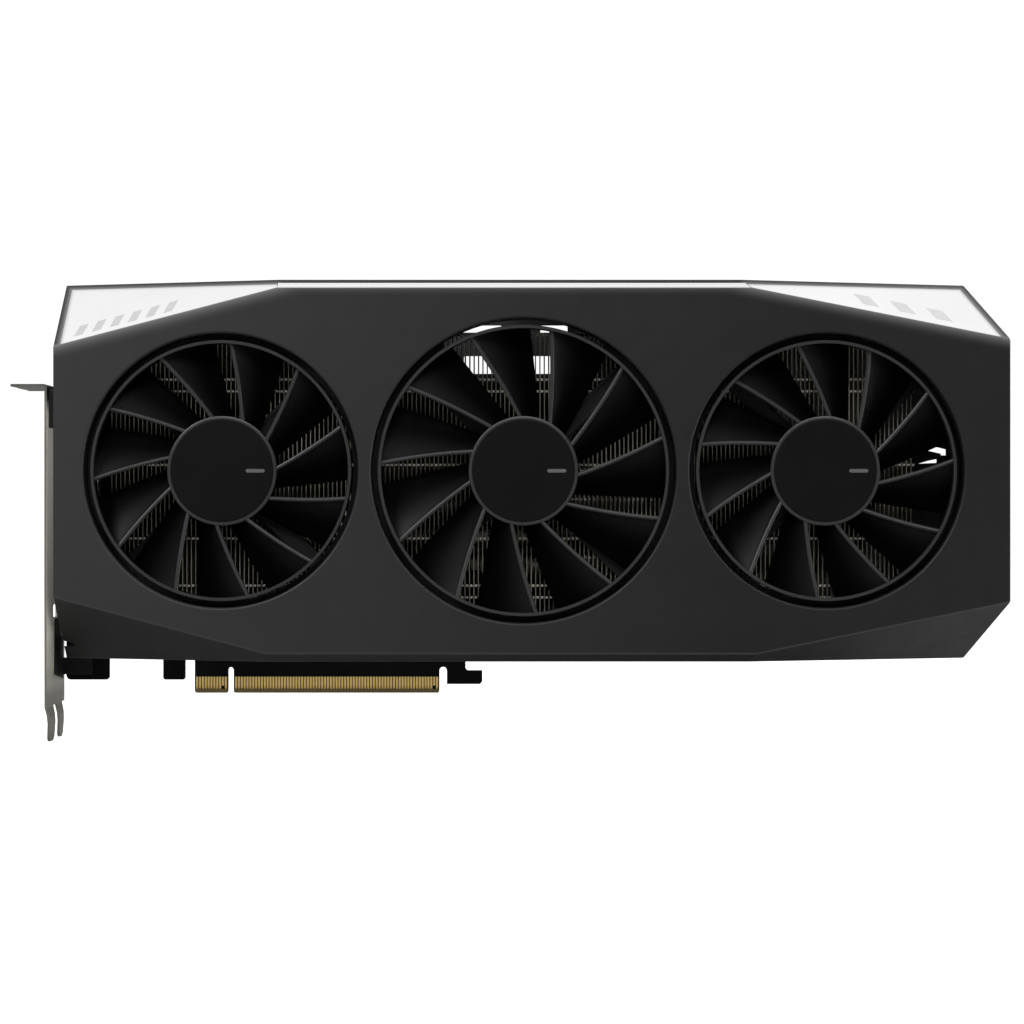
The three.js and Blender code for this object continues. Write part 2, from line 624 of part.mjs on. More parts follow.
function makeBracket() {
  const { inner, outer, front, rear, top } = BRACKET;
  const sheetTop = top - 0.86;
  const face = slabX(outline([
    [front, top], ...prong(front, -21.5, 1), ...prong(-14.2, -2.7, 0.8), [rear, PRONG.root], [rear, top],
  ]), outer, inner);
  const tab = block([-107.6, outer + 0.4], [front, rear], [sheetTop, top]);
  const ear = block([inner - 0.4, -85], [-1.9, -0.9], [6.5, 12.4]);
  const notches = [-25.4, -5.1].flatMap((y) => [
    block([-110, -104], [y - 2.2, y + 2.2], [sheetTop - 1, top + 1]),
    new THREE.CylinderGeometry(2.2, 2.2, 4, 16).rotateX(Math.PI / 2).translate(-104, y, top),
  ]);
  const sockets = PORTS.map(({ z, width }) => {
    const half = width / 2 + PORT.wall + 0.2;
    return block([outer - 1, inner + 1], [-8.2, -0.6], [z - half, z + half]);
  });
  const vents = Array.from({ length: 7 }, (_, i) => (
    block([outer - 1, inner + 1], [-22, -10], [27 + 9.5 * i, 31.5 + 9.5 * i])
  ));
  return cut(
    join(face, tab, ear),
    ...notches,
    ...sockets,
    ...vents,
    ...BRACKET_SCREWS_Y.map((y) => rodX(1.5, y, 98, outer - 1, inner + 1)),
  );
}
piece('io_bracket', makeBracket(), FINISH.steel);

BRACKET_SCREWS_Y.forEach((y, i) => {
  const profile = [[0, -4], [1.1, -4], [1.1, 0], [2.5, 0], [2.1, 0.9], [0, 0.9]];
  const screw = spin(profile, 0, 0, POST_SIDES).rotateZ(Math.PI / 2).translate(BRACKET.outer, y, 98);
  piece(`bracket_screw_${i + 1}`, screw, FINISH.steel);
});

export default card;
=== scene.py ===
"""The looks of a three-fan graphics card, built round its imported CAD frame.

Shapes are worked out in millimetres in the frame's own axes (X from the bracket to the far end, Y from the
fans to the backplate, Z up from the edge connector) and turned into metres when a mesh is made.
"""
import functools
import json
import math

import bmesh
import bpy
from mathutils import Matrix, Vector


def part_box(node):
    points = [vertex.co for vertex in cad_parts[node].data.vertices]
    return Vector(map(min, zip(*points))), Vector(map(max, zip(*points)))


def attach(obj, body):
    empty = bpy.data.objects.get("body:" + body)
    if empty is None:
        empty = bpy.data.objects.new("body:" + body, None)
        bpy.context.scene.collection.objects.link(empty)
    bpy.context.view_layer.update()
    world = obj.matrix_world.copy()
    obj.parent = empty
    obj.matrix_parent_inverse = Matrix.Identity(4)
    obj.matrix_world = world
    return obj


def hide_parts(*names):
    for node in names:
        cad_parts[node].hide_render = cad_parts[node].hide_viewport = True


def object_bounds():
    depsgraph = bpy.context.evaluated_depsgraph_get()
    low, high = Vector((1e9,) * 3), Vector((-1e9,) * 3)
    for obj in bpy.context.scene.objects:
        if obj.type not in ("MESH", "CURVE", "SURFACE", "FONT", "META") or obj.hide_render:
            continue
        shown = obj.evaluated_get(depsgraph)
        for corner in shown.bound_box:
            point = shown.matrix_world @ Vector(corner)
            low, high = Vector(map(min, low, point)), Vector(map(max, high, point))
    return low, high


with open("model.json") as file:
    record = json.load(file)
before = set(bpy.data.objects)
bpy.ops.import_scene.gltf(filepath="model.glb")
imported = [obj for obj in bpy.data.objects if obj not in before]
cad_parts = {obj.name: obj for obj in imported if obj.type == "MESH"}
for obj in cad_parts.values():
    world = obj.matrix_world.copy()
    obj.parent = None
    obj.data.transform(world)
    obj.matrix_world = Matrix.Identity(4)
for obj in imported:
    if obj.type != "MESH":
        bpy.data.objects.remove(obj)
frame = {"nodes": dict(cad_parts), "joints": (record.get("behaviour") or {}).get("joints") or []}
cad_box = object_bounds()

MM = 0.001


def box_mm(node):
    low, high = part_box(node)
    return low / MM, high / MM


# ---- Driving dimensions, in millimetres ----
shroud_low, shroud_high = box_mm("shroud")
LUG_LENGTH = 2.99                      # how far the lug beside the bracket stands out from the shroud
LEFT = shroud_low.x + LUG_LENGTH
RIGHT = shroud_high.x
FRONT = shroud_low.y
REAR = shroud_high.y
BOTTOM = shroud_low.z
TOP = shroud_high.z
WALL = 2.0
CREASE_TOP = TOP - 3.0                 # where the front face turns into its top chamfer
CREASE_BOTTOM = BOTTOM + 2.8
CHAMFER_DEPTH = 3.9
FACET_DEPTH = 29.5
CORNER_X = RIGHT - 11.1
CORNER_TOP = TOP - 20.1
CORNER_BOTTOM = BOTTOM + 20.1
BLADES = 11
HUB_RADIUS = 18.4
HUB_DEPTH = 5.1
HUB_REAR = -30.3                       # the plane of the hub's open rear edge
TIP_GAP = 2.2
FRAME_FRONT, FRAME_REAR = -29.3, -27.3  # the planes of the fans' arms
LIP_DEPTH = 11.2                       # the bore's inner lip, just behind the rotor's ring
BOARD_HALF = 0.8
EAR_REACH = 6.5                        # how far the centres of a fan's screw ears are from its bore
TOP_WINDOWS = (-54, -24, 6, 36, 132)   # left edges of the windows in the top wall
BOTTOM_WINDOWS = (62, 92, 122, 152)
WINDOW_WIDTH = 26
ROUND = 128                            # sides of a large round
BLADE_PHASES = {"left": 100.2, "middle": 93.3, "right": 84.6}


def fan_facts(side):
    joint = next(j for j in frame["joints"] if j["name"] == f"{side}_fan_spin")
    low, high = box_mm(f"{side}_rotor")
    centre = Vector(joint["pos_m"]) / MM
    return {
        "side": side,
        "body": f"{side}_fan",
        "x": centre.x,
        "z": centre.z,
        "ring": round((high.z - low.z) / 2, 1),
        "phase": BLADE_PHASES[side],
    }


FANS = [fan_facts(side) for side in ("left", "middle", "right")]
for fan in FANS:
    fan["bore"] = fan["ring"] + TIP_GAP


# ---- Node materials ----
class Nodes:
    """A small wrapper that adds and links shader nodes in one material."""

    def __init__(self, name):
        self.material = bpy.data.materials.new(name)
        self.material.use_nodes = True
        self.tree = self.material.node_tree
        self.shader = self.tree.nodes["Principled BSDF"]
        self.place = self.add("ShaderNodeTexCoord").outputs["Object"]

    def feed(self, socket, value):
        """Links a node's output to a socket, or sets the socket to a plain value."""
        if isinstance(value, bpy.types.NodeSocket):
            self.tree.links.new(value, socket)
        else:
            socket.default_value = value

    def add(self, kind, inputs=None, **settings):
        """A new node with some of its settings and inputs given."""
        node = self.tree.nodes.new(kind)
        for key, value in settings.items():
            setattr(node, key, value)
        for key, value in (inputs or {}).items():
            self.feed(node.inputs[key], value)
        return node

    def stretched(self, scale):
        return self.add("ShaderNodeMapping", {"Scale": scale, "Vector": self.place}).outputs["Vector"]

    def noise(self, scale, detail=3.0, place=None):
        inputs = {"Scale": scale, "Detail": detail, "Vector": place or self.place}
        return self.add("ShaderNodeTexNoise", inputs).outputs["Fac"]

    def remap(self, value, low, high, start=0.3, end=0.7):
        """Maps a value between start and end to between low and high, and clamps it there."""
        inputs = {"Value": value, "From Min": start, "From Max": end, "To Min": low, "To Max": high}
        return self.add("ShaderNodeMapRange", inputs).outputs["Result"]

    def ramp(self, axis, low, high, start, end):
        """Goes from low to high between two places along an axis, in millimetres."""
        split = self.add("ShaderNodeSeparateXYZ", {"Vector": self.place})
        return self.remap(split.outputs[axis], low, high, start * MM, end * MM)

    def blend(self, factor, first, second):
        inputs = {"Factor": factor}
        for name, colour in (("A", first), ("B", second)):
            inputs[name] = (*colour, 1) if isinstance(colour, tuple) else colour
        return self.add("ShaderNodeMix", inputs, data_type="RGBA").outputs["Result"]

    def math(self, operation, first, second):
        return self.add("ShaderNodeMath", {0: first, 1: second}, operation=operation).outputs["Value"]

    def product(self, first, second):
        return self.math("MULTIPLY", first, second)

    def largest(self, values):
        return functools.reduce(lambda first, second: self.math("MAXIMUM", first, second), values)

    def set(self, **values):
        """Feeds the shader's inputs, named with an underscore for each space."""
        for key, value in values.items():
            self.feed(self.shader.inputs[key.replace("_", " ")], value)

    def bump(self, height, strength, distance):
        inputs = {"Height": height, "Strength": strength, "Distance": distance}
        self.set(Normal=self.add("ShaderNodeBump", inputs).outputs["Normal"])

    def glow(self, strength, colour=(1, 1, 1, 1)):
        self.set(Emission_Color=colour, Emission_Strength=strength)


def shade(colour, factor):
    return tuple(channel * factor for channel in colour)


def grained(name, colour, roughness, grain, depth, spread=0.12, metallic=0.0, specular=0.5):
    """Moulded or coated surface: fine grain in its bump, slow drift in its colour and roughness."""
    nodes = Nodes(name)
    drift = nodes.remap(nodes.noise(18, 4), 0, 1)
    nodes.bump(nodes.noise(grain, 2), 0.5, depth)
    nodes.set(
        Base_Color=nodes.blend(drift, shade(colour, 1 - spread), shade(colour, 1 + spread)),
        Roughness=nodes.remap(nodes.noise(90, 5), roughness - 0.04, roughness + 0.05),
        Metallic=metallic,
        Specular_IOR_Level=specular,
    )
    return nodes.material


def brushed(name, colour, roughness, along, spread=0.14):
    """Rolled or brushed metal: long fine scratches along one axis, in colour, roughness and bump."""
    nodes = Nodes(name)
    scale = [2600, 2600, 2600]
    scale["XYZ".index(along)] = 60
    lines = nodes.noise(1, 3, nodes.stretched(scale))
    tone = nodes.remap(lines, 0, 1)
    patches = nodes.remap(nodes.noise(120, 4), -0.05, 0.07)
    nodes.bump(lines, 0.25, 0.00003)
    nodes.set(
        Base_Color=nodes.blend(tone, shade(colour, 1 - spread), shade(colour, 1 + spread)),
        Roughness=nodes.math("ADD", patches, nodes.remap(lines, roughness - 0.06, roughness + 0.08)),
        Metallic=1.0,
    )
    return nodes.material


# ---- Mesh helpers ----
def add_object(name, data):
    thing = bpy.data.objects.new(name, data)
    bpy.context.scene.collection.objects.link(thing)
    return thing


def to_object(name, bm):
    mesh = bpy.data.meshes.new(name)
    bm.to_mesh(mesh)
    bm.free()
    return add_object(name, mesh)


def make_object(name, bm, smooth_angle=40):
    """Turns a bmesh in millimetres into an object in metres, smooth except over sharp edges."""
    bmesh.ops.remove_doubles(bm, verts=bm.verts, dist=0.0005)
    bmesh.ops.recalc_face_normals(bm, faces=bm.faces)
    bmesh.ops.scale(bm, vec=(MM, MM, MM), verts=bm.verts)
    thing = to_object(name, bm)
    thing.data.shade_smooth()
    thing.data.set_sharp_from_angle(angle=math.radians(smooth_angle))
    return thing


def shape(add, *arguments):
    """A new bmesh that holds one added shape."""
    bm = bmesh.new()
    add(bm, *arguments)
    return bm


def add_block(bm, low, high):
    """A box between two corners."""
    size = Vector(high) - Vector(low)
    middle = (Vector(high) + Vector(low)) / 2
    bmesh.ops.create_cube(bm, size=1, matrix=Matrix.Translation(middle) @ Matrix.Diagonal((*size, 1)))


def add_loop_shell(bm, loops, closed=False):
    """Joins loops of points with quads. The ends are capped, or the last loop joins the first if closed."""
    rows = [[bm.verts.new(point) for point in loop] for loop in loops]
    pairs = list(zip(rows, rows[1:]))
    if closed:
        pairs.append((rows[-1], rows[0]))
    for first, second in pairs:
        count = len(first)
        for i in range(count):
            j = (i + 1) % count
            bm.faces.new((first[i], first[j], second[j], second[i]))
    if not closed:
        bm.faces.new(list(reversed(rows[0])))
        bm.faces.new(rows[-1])
    return [vertex for row in rows for vertex in row]


def round_point(x, y, z, radius, angle):
    return (x + radius * math.cos(angle), y, z + radius * math.sin(angle))


def add_lathe(bm, profile, x, z, sides=ROUND):
    """Revolves a closed [radius, y] loop about the line along Y through x and z."""
    angles = [2 * math.pi * i / sides for i in range(sides)]
    loops = [[round_point(x, y, z, radius, angle) for radius, y in profile] for angle in angles]
    add_loop_shell(bm, loops, closed=True)


def add_disc(bm, profile, x, z, sides=48):
    """Stacks circles of the given [radius, y] points and caps both ends."""
    angles = [2 * math.pi * i / sides for i in range(sides)]
    add_loop_shell(bm, [[round_point(x, y, z, radius, angle) for angle in angles] for radius, y in profile])


def add_prism(bm, outline, axis, start, end):
    """Extrudes an outline along an axis. Its points are the other two coordinates, in X, Y, Z order."""
    def place(point, level):
        first, second = point
        return {"X": (level, first, second), "Y": (first, level, second), "Z": (first, second, level)}[axis]
    return add_loop_shell(bm, [[place(point, level) for point in outline] for level in (start, end)])


def arc(x, y, radius, start, end, steps=6):
    angles = (math.radians(start + (end - start) * i / steps) for i in range(steps + 1))
    return [(x + radius * math.cos(a), y + radius * math.sin(a)) for a in angles]


def rounded_rectangle(low, high, radius, steps=4):
    """Corner-rounded outline between two corners, anticlockwise."""
    left, bottom = low[0] + radius, low[1] + radius
    right, top = high[0] - radius, high[1] - radius
    corners = ((right, bottom, -90), (right, top, 0), (left, top, 90), (left, bottom, 180))
    return [point for x, y, start in corners for point in arc(x, y, radius, start, start + 90, steps)]


def shifted(points, right, up):
    return [(x + right, y + up) for x, y in points]


def rectangle(y0, z0, y1, z1):
    return [(y0, z0), (y1, z0), (y1, z1), (y0, z1)]


def helper(bm):
    """A plain object for boolean work, in millimetres."""
    bmesh.ops.recalc_face_normals(bm, faces=bm.faces)
    return to_object("helper", bm)


def combine(base, tools, operation):
    """Boolean of helper objects, applied at once. The tools are removed."""
    for tool in tools:
        modifier = base.modifiers.new("combine", "BOOLEAN")
        modifier.operation = operation
        modifier.solver = "EXACT"
        modifier.object = tool
    shown = base.evaluated_get(bpy.context.evaluated_depsgraph_get())
    mesh = bpy.data.meshes.new_from_object(shown)
    base.modifiers.clear()
    base.data = mesh
    for tool in tools:
        bpy.data.objects.remove(tool)
    return base


def from_helper(name, base, smooth_angle=40):
    """Turns a finished helper object into a piece in metres."""
    bm = bmesh.new()
    bm.from_mesh(base.data)
    bpy.data.objects.remove(base)
    bmesh.ops.dissolve_degenerate(bm, dist=0.0005, edges=bm.edges)
    return make_object(name, bm, smooth_angle)


def soften(thing, width):
    """Rounds the sharp edges of a piece by a width in millimetres."""
    modifier = thing.modifiers.new("soft_edges", "BEVEL")
    modifier.width = width * MM
    modifier.segments = 2
    modifier.limit_method = "ANGLE"
    modifier.angle_limit = math.radians(35)
    modifier.harden_normals = True
    return thing


def even_normals(thing):
    """Keeps large flat faces evenly shaded where they meet small rounded edges."""
    modifier = thing.modifiers.new("even_normals", "WEIGHTED_NORMAL")
    modifier.keep_sharp = True
    return thing


def put(thing, material, body="card", replaces=()):
    """Gives a piece its material and body, and hides the CAD nodes that it stands for."""
    thing.data.materials.clear()
    thing.data.materials.append(material)
    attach(thing, body)
    if replaces:
        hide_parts(*replaces)
    return thing


def add_piece(name, bm, material, soft=0.0, replaces=()):
    """Makes a bmesh a piece of the card itself, with its edges rounded by a width in millimetres."""
    thing = make_object(name, bm)
    if soft:
        soften(thing, soft)
    put(thing, material, replaces=replaces)


# ---- Camera, lights and floor ----
SURROUNDINGS = 0.14                    # the world's light on the card
BACKDROP = 1.05                        # the world as the camera sees it


def add_camera():
    """Level view from 1.015 m in front of the board, through a long lens."""
    data = bpy.data.cameras.new("camera")
    data.lens = 102.35
    data.sensor_width = 36
    data.clip_start = 0.05
    data.clip_end = 20
    camera = add_object("camera", data)
    camera.location = (0.0611, -1.0148, 0.0630)
    camera.rotation_euler = (math.radians(90), 0, 0)
    bpy.context.scene.camera = camera


def add_softbox(name, place, width, height, power, aim=(0.06, -0.02, 0.07)):
    data = bpy.data.lights.new(name, "AREA")
    data.shape = "RECTANGLE"
    data.size = width
    data.size_y = height
    data.energy = power
    light = add_object(name, data)
    light.location = place
    light.rotation_euler = (Vector(aim) - Vector(place)).to_track_quat("-Z", "Y").to_euler()


def add_studio():
    """White surroundings, a pale floor just under the card, and softboxes."""
    scene = bpy.context.scene
    scene.view_settings.view_transform = "Standard"
    scene.world = bpy.data.worlds.new("studio")
    scene.world.use_nodes = True
    tree = scene.world.node_tree
    tree.nodes.remove(tree.nodes["Background"])
    path = tree.nodes.new("ShaderNodeLightPath")
    mix = tree.nodes.new("ShaderNodeMixShader")
    tree.links.new(path.outputs["Is Camera Ray"], mix.inputs["Fac"])
    tree.links.new(mix.outputs["Shader"], tree.nodes["World Output"].inputs["Surface"])
    for slot, strength in ((1, SURROUNDINGS), (2, BACKDROP)):
        white = tree.nodes.new("ShaderNodeBackground")
        white.inputs["Color"].default_value = (1, 1, 1, 1)
        white.inputs["Strength"].default_value = strength
        tree.links.new(white.outputs["Background"], mix.inputs[slot])

    bm = bmesh.new()
    bmesh.ops.create_grid(bm, x_segments=2, y_segments=2, size=6000)
    floor = make_object("floor", bm)
    floor.location = (0, 0, cad_box[0][2] - 0.0006)
    nodes = Nodes("floor_paper")
    tone = nodes.remap(nodes.noise(3, 3), 0, 1)
    seen = nodes.add("ShaderNodeLightPath").outputs["Is Camera Ray"]
    nodes.glow(nodes.product(seen, 0.95))
    nodes.set(Base_Color=nodes.blend(tone, (0.33, 0.33, 0.33), (0.35, 0.35, 0.35)), Roughness=0.9)
    floor.data.materials.append(nodes.material)

    add_softbox("overhead", (0.05, 0.1, 1.5), 2.2, 2.0, 9)
    add_softbox("key_left", (-0.7, -0.7, 0.8), 0.5, 0.5, 15)
    add_softbox("front_high", (0.2, -1.2, 1.1), 1.0, 0.5, 16)
    add_softbox("fill_right", (1.4, -0.7, 0.12), 0.5, 0.4, 2)
    add_softbox("rim_right", (0.85, -0.10, 0.02), 0.25, 0.06, 3, (0.2, -0.03, 0.02))
    add_softbox("side_right", (0.65, 0.05, 0.45), 0.3, 0.3, 7, (0.24, 0, 0))
    add_softbox("behind", (0.2, 1.2, 1.0), 1.6, 1.0, 5)


# ---- Shroud ----
def at(x, depth, z):
    return Vector((x, FRONT + depth, z))


FACETS = {
    "top_left": (at(-17.4, 0, CREASE_TOP), at(LEFT, 0, 118.3), at(LEFT, FACET_DEPTH, TOP)),
    "top_right": (at(141.2, 0, CREASE_TOP), at(RIGHT, 0, CORNER_TOP), at(CORNER_X, FACET_DEPTH, TOP)),
    "bottom_left": (at(-21, 0, CREASE_BOTTOM), at(LEFT, 0, 34.5), at(LEFT, FACET_DEPTH, BOTTOM)),
    "bottom_right": (
        at(142.9, 0, CREASE_BOTTOM), at(RIGHT, 0, CORNER_BOTTOM), at(CORNER_X, FACET_DEPTH, BOTTOM),
    ),
    "top_chamfer": (at(0, 0, CREASE_TOP), at(100, 0, CREASE_TOP), at(0, CHAMFER_DEPTH, TOP)),
    "bottom_chamfer": (at(0, 0, CREASE_BOTTOM), at(100, 0, CREASE_BOTTOM), at(0, CHAMFER_DEPTH, BOTTOM)),
    "top_corner": (at(RIGHT, 0, CORNER_TOP), at(RIGHT, 20, CORNER_TOP), at(CORNER_X, 0, TOP)),
    "bottom_corner": (at(RIGHT, 0, CORNER_BOTTOM), at(RIGHT, 20, CORNER_BOTTOM), at(CORNER_X, 0, BOTTOM)),
}
CENTRE = Vector(((LEFT + RIGHT) / 2, -10, (BOTTOM + TOP) / 2))


def outward(points):
    a, b, c = points[:3]
    normal = (b - a).cross(c - a).normalized()
    return -normal if normal.dot(a - CENTRE) < 0 else normal


def envelope(inset, rear, edge=0.0):
    """The shroud's box trimmed by its facet planes, all moved inwards by the inset."""
    bm = bmesh.new()
    add_block(bm, (LEFT + inset, FRONT + inset, BOTTOM + inset), (RIGHT - inset, rear, TOP - inset))
    for points in FACETS.values():
        normal = outward(points)
        everything = bm.verts[:] + bm.edges[:] + bm.faces[:]
        made = bmesh.ops.bisect_plane(
            bm, geom=everything, dist=1e-5, plane_co=points[0] - normal * inset, plane_no=normal,
            clear_outer=True,
        )
        rim = [part for part in made["geom_cut"] if isinstance(part, bmesh.types.BMEdge)]
        bmesh.ops.holes_fill(bm, edges=rim, sides=0)
    if edge:
        ridges = [e for e in bm.edges if min(v.co.y for v in e.verts) < rear - 0.1]
        bmesh.ops.bevel(bm, geom=ridges, offset=edge, segments=3, profile=0.5, affect="EDGES")
    return helper(bm)


def ear_places(fan):
    reach = fan["bore"] + EAR_REACH
    for degrees in (45, 135, 225, 315):
        angle = math.radians(degrees)
        yield fan["x"] + reach * math.cos(angle), fan["z"] + reach * math.sin(angle), angle


def facet_frame(points):
    """Origin and axes on a facet: along its front crease, up across it, and outwards."""
    normal = outward(points)
    across = (points[1] - points[0]).normalized()
    up = normal.cross(across)
    frame_matrix = Matrix((across, up, normal)).transposed().to_4x4()
    frame_matrix.translation = points[0]
    return frame_matrix


def inset_corners(corners, margins):
    """A flat polygon's corners after each edge moves inwards by its own margin."""
    area = sum(a.cross(b) for a, b in zip(corners, corners[1:] + corners[:1]))
    lines = []
    for i, point in enumerate(corners):
        along = (corners[(i + 1) % len(corners)] - point).normalized()
        inward = Vector((-along.y, along.x)) * (math.copysign(margins[i], area))
        lines.append((point + inward, along))
    result = []
    for i, (point, along) in enumerate(lines):
        before, before_along = lines[i - 1]
        step = (point - before).cross(along) / before_along.cross(along)
        result.append(before + before_along * step)
    return result


def plate_on(corners, margins, low, high):
    """A bmesh plate on the plane of the given corners, between two heights above it."""
    frame_matrix = facet_frame(corners)
    inverse = frame_matrix.inverted()
    flat = [(inverse @ corner).to_2d() for corner in corners]
    bm = shape(add_prism, [tuple(point) for point in inset_corners(flat, margins)], "Z", low, high)
    bm.transform(frame_matrix)
    return bm


def mitre_end(points):
    """Where a corner facet's mitre with the top chamfer meets the top wall."""
    normal = outward(points)
    start = points[0]
    x = start.x - (normal.y * CHAMFER_DEPTH + normal.z * (TOP - start.z)) / normal.x
    return at(x, CHAMFER_DEPTH, TOP)


LEFT_MITRE = mitre_end(FACETS["top_left"])
RIGHT_MITRE = mitre_end(FACETS["top_right"])
# Painted shade and painted light: the shell's black at its far end and, lighter, at its bracket end.
SHELL_PAINTED_SHADE = (0.0042, 0.0042, 0.0043)
SHELL_PAINTED_LIGHT = (0.017, 0.017, 0.0171)
# Painted highlight: the lighter colour along the lower creases.
SHELL_CREASE_HIGHLIGHT = (0.04, 0.04, 0.0402)
# Each lit panel: its facet's corners, and the width of the black border along each edge.
PANELS = {
    "diffuser_left": ([*FACETS["top_left"], LEFT_MITRE], [0.35, 2.4, 2.8, 0.15]),
    "diffuser_strip": (
        [FACETS["top_left"][0], FACETS["top_right"][0], RIGHT_MITRE, LEFT_MITRE],
        [0.3, 0.15, 2.0, 0.15],
    ),
    "diffuser_right": ([*FACETS["top_right"], RIGHT_MITRE], [0.35, 2.9, 3.2, 0.15]),
}


def bore_cutter(fan):
    """Removes a fan's bore with a rounded front lip."""
    lip = 0.9
    bore = fan["bore"]
    rounding = [(bore + lip - lip * math.sin(a), FRONT + lip - lip * math.cos(a))
                for a in (math.radians(15 * i) for i in range(7))]
    inner_lip = bore - 2
    profile = [(bore + lip, FRONT - 2), *rounding, (bore, FRONT + LIP_DEPTH)]
    profile += [(inner_lip, FRONT + LIP_DEPTH), (inner_lip, FRONT + 13)]
    return helper(shape(add_disc, profile, fan["x"], fan["z"], ROUND))


def window_cutter(low, high, start, end):
    """A round-cornered window through the top or bottom wall, between two [x, y] corners."""
    return helper(shape(add_prism, rounded_rectangle(low, high, 1.6), "Z", start, end))


def make_shroud():
    solid = envelope(0, REAR, 0.45)
    solid = combine(solid, [envelope(WALL, REAR + 10)], "DIFFERENCE")
    bm = bmesh.new()
    for fan in FANS:
        outer = fan["bore"] + 1.5
        add_disc(bm, [(outer, FRONT + 1), (outer, FRONT + 12.2)], fan["x"], fan["z"], ROUND)
        for x, z, _ in ear_places(fan):
            add_disc(bm, [(3.2, FRONT + 1), (3.2, FRAME_FRONT - 0.3)], x, z, 24)
    add_block(bm, (shroud_low.x, -33, 91.4), (LEFT + 1.5, -10, 104.5))
    solid = combine(solid, [helper(bm)], "UNION")
    cutters = [bore_cutter(fan) for fan in FANS]
    for corners, margins in PANELS.values():
        cutters.append(helper(plate_on(corners, [m - 0.12 for m in margins], -6, 1)))
    for x in TOP_WINDOWS:
        cutters.append(window_cutter((x, -24), (x + WINDOW_WIDTH, -8), TOP - 4, TOP + 1))
    for x in BOTTOM_WINDOWS:
        cutters.append(window_cutter((x, -24), (x + WINDOW_WIDTH, -8), BOTTOM - 1, BOTTOM + 4))
    plug_window = ((89, -18), (127, 10))
    cutters.append(window_cutter(*plug_window, TOP - 4, TOP + 1))
    x, z = FANS[1]["x"], FANS[1]["z"]
    lip_gap = ((x - 27, FRONT + LIP_DEPTH, z + 40), (x + 27, FRONT + 13, TOP - 6))
    edge_room = ((-100, -1.5, 0), (96, 10, 130))
    socket_bay = ((-100, -22, 17), (LEFT + 4, 0, 90))
    for low, high in (lip_gap, edge_room, socket_bay):
        cutters.append(helper(shape(add_block, low, high)))
    solid = combine(solid, cutters, "DIFFERENCE")
    return even_normals(from_helper("shroud_shell", solid, 30))


def plane_gap(nodes, points, low, high, start, end):
    """How far a shaded point lies inside a facet's plane in millimetres, remapped."""
    normal = outward(points)
    dot = nodes.add("ShaderNodeVectorMath", {0: nodes.place, 1: normal}, operation="DOT_PRODUCT")
    reach = normal.dot(points[0])
    return nodes.remap(dot.outputs["Value"], low, high, (reach - end) * MM, (reach - start) * MM)


def shell_material():
    """Matt moulded black, lighter towards the bracket by a painted light falloff, with a painted highlight
    along its lower creases and painted light from the panels spilling over its edge.
    """
    nodes = Nodes("shell_matt_black")
    # Painted light falloff: lighter towards the bracket, darker towards the far end, with a slow random
    # drift.
    across = nodes.ramp("X", 1, 0, LEFT, RIGHT - 90)
    drift = nodes.math("ADD", across, nodes.remap(nodes.noise(14, 4), -0.06, 0.06))
    nodes.bump(nodes.noise(2600, 2), 0.35, 0.00002)

    # Painted highlight: a thin lighter line where the face meets the lower facets.
    lower = ("bottom_left", "bottom_right", "bottom_chamfer")
    crease = nodes.largest([plane_gap(nodes, FACETS[name], 0, 1, 0, 0.45) for name in lower])
    near_face = nodes.ramp("Y", 1, 0, FRONT + 0.2, FRONT + 0.5)
    # The moulding's black with the painted light falloff on it.
    moulded = nodes.blend(drift, SHELL_PAINTED_SHADE, SHELL_PAINTED_LIGHT)

    # Painted light: the shell glows on the face beside the lit panels and on the facets' borders round them.
    corners = ("top_left", "top_right")
    gaps = [plane_gap(nodes, FACETS[name], 0, 1, -0.2, 4.2) for name in corners]
    gaps.append(plane_gap(nodes, FACETS["top_chamfer"], 0, 0.75, -0.2, 2.4))
    on_face = nodes.ramp("Y", 1, 0, FRONT + 0.3, FRONT + 1.0)
    face_glow = nodes.product(nodes.math("POWER", nodes.largest(gaps), 2.6), on_face)

    on_facet = nodes.largest([plane_gap(nodes, FACETS[name], 0, 1, 0.1, 0.3) for name in corners])
    inside = from_border(nodes, (0.2, 1.8), (0.2, 2.5))
    off_face = nodes.math("SUBTRACT", 1, on_face)
    border = nodes.product(nodes.product(nodes.math("POWER", inside, 1.8), on_facet), off_face)

    nodes.glow(nodes.math("ADD", nodes.product(face_glow, 0.15), nodes.product(border, 0.24)))
    nodes.set(
        Base_Color=nodes.blend(nodes.product(crease, near_face), moulded, SHELL_CREASE_HIGHLIGHT),
        Roughness=nodes.remap(nodes.noise(120, 5), 0.47, 0.55),
        Specular_IOR_Level=0.2,
    )
    return nodes.material


def from_border(nodes, top, side):
    """Rises from 0 to 1 across a band inside the facets' outer edges, between two limits in millimetres."""
    from_top = nodes.ramp("Z", 1, 0, TOP - top[1], TOP - top[0])
    from_left = nodes.ramp("X", 0, 1, LEFT + side[0], LEFT + side[1])
    from_corner = plane_gap(nodes, FACETS["top_corner"], 1, 0, *side)
    return nodes.math("MINIMUM", nodes.math("MINIMUM", from_top, from_left), from_corner)


def diffuser_material(name, level, soft_edges):
    """Milky diffuser lit from behind: nearly even white, a little dimmer towards the far end."""
    nodes = Nodes(name)
    along = nodes.ramp("X", 0, 0.06, LEFT, RIGHT)
    back = nodes.ramp("Y", 0, 0.06, FRONT, FRONT + FACET_DEPTH)
    cloud = nodes.math("ADD", nodes.math("ADD", nodes.remap(nodes.noise(40, 4), 0, 0.04), back), along)
    light = nodes.math("SUBTRACT", level, cloud)
    if soft_edges:
        edge = from_border(nodes, (1.0, 2.6), (1.9, 3.6))
        light = nodes.product(light, nodes.remap(edge, 0.4, 1, 0, 1))
    nodes.glow(light)
    nodes.bump(nodes.noise(900, 2), 0.2, 0.00003)
    nodes.set(
        Base_Color=nodes.blend(cloud, (0.06, 0.06, 0.061), (0.05, 0.05, 0.051)),
        Roughness=0.4,
        Specular_IOR_Level=0.2,
    )
    return nodes.material


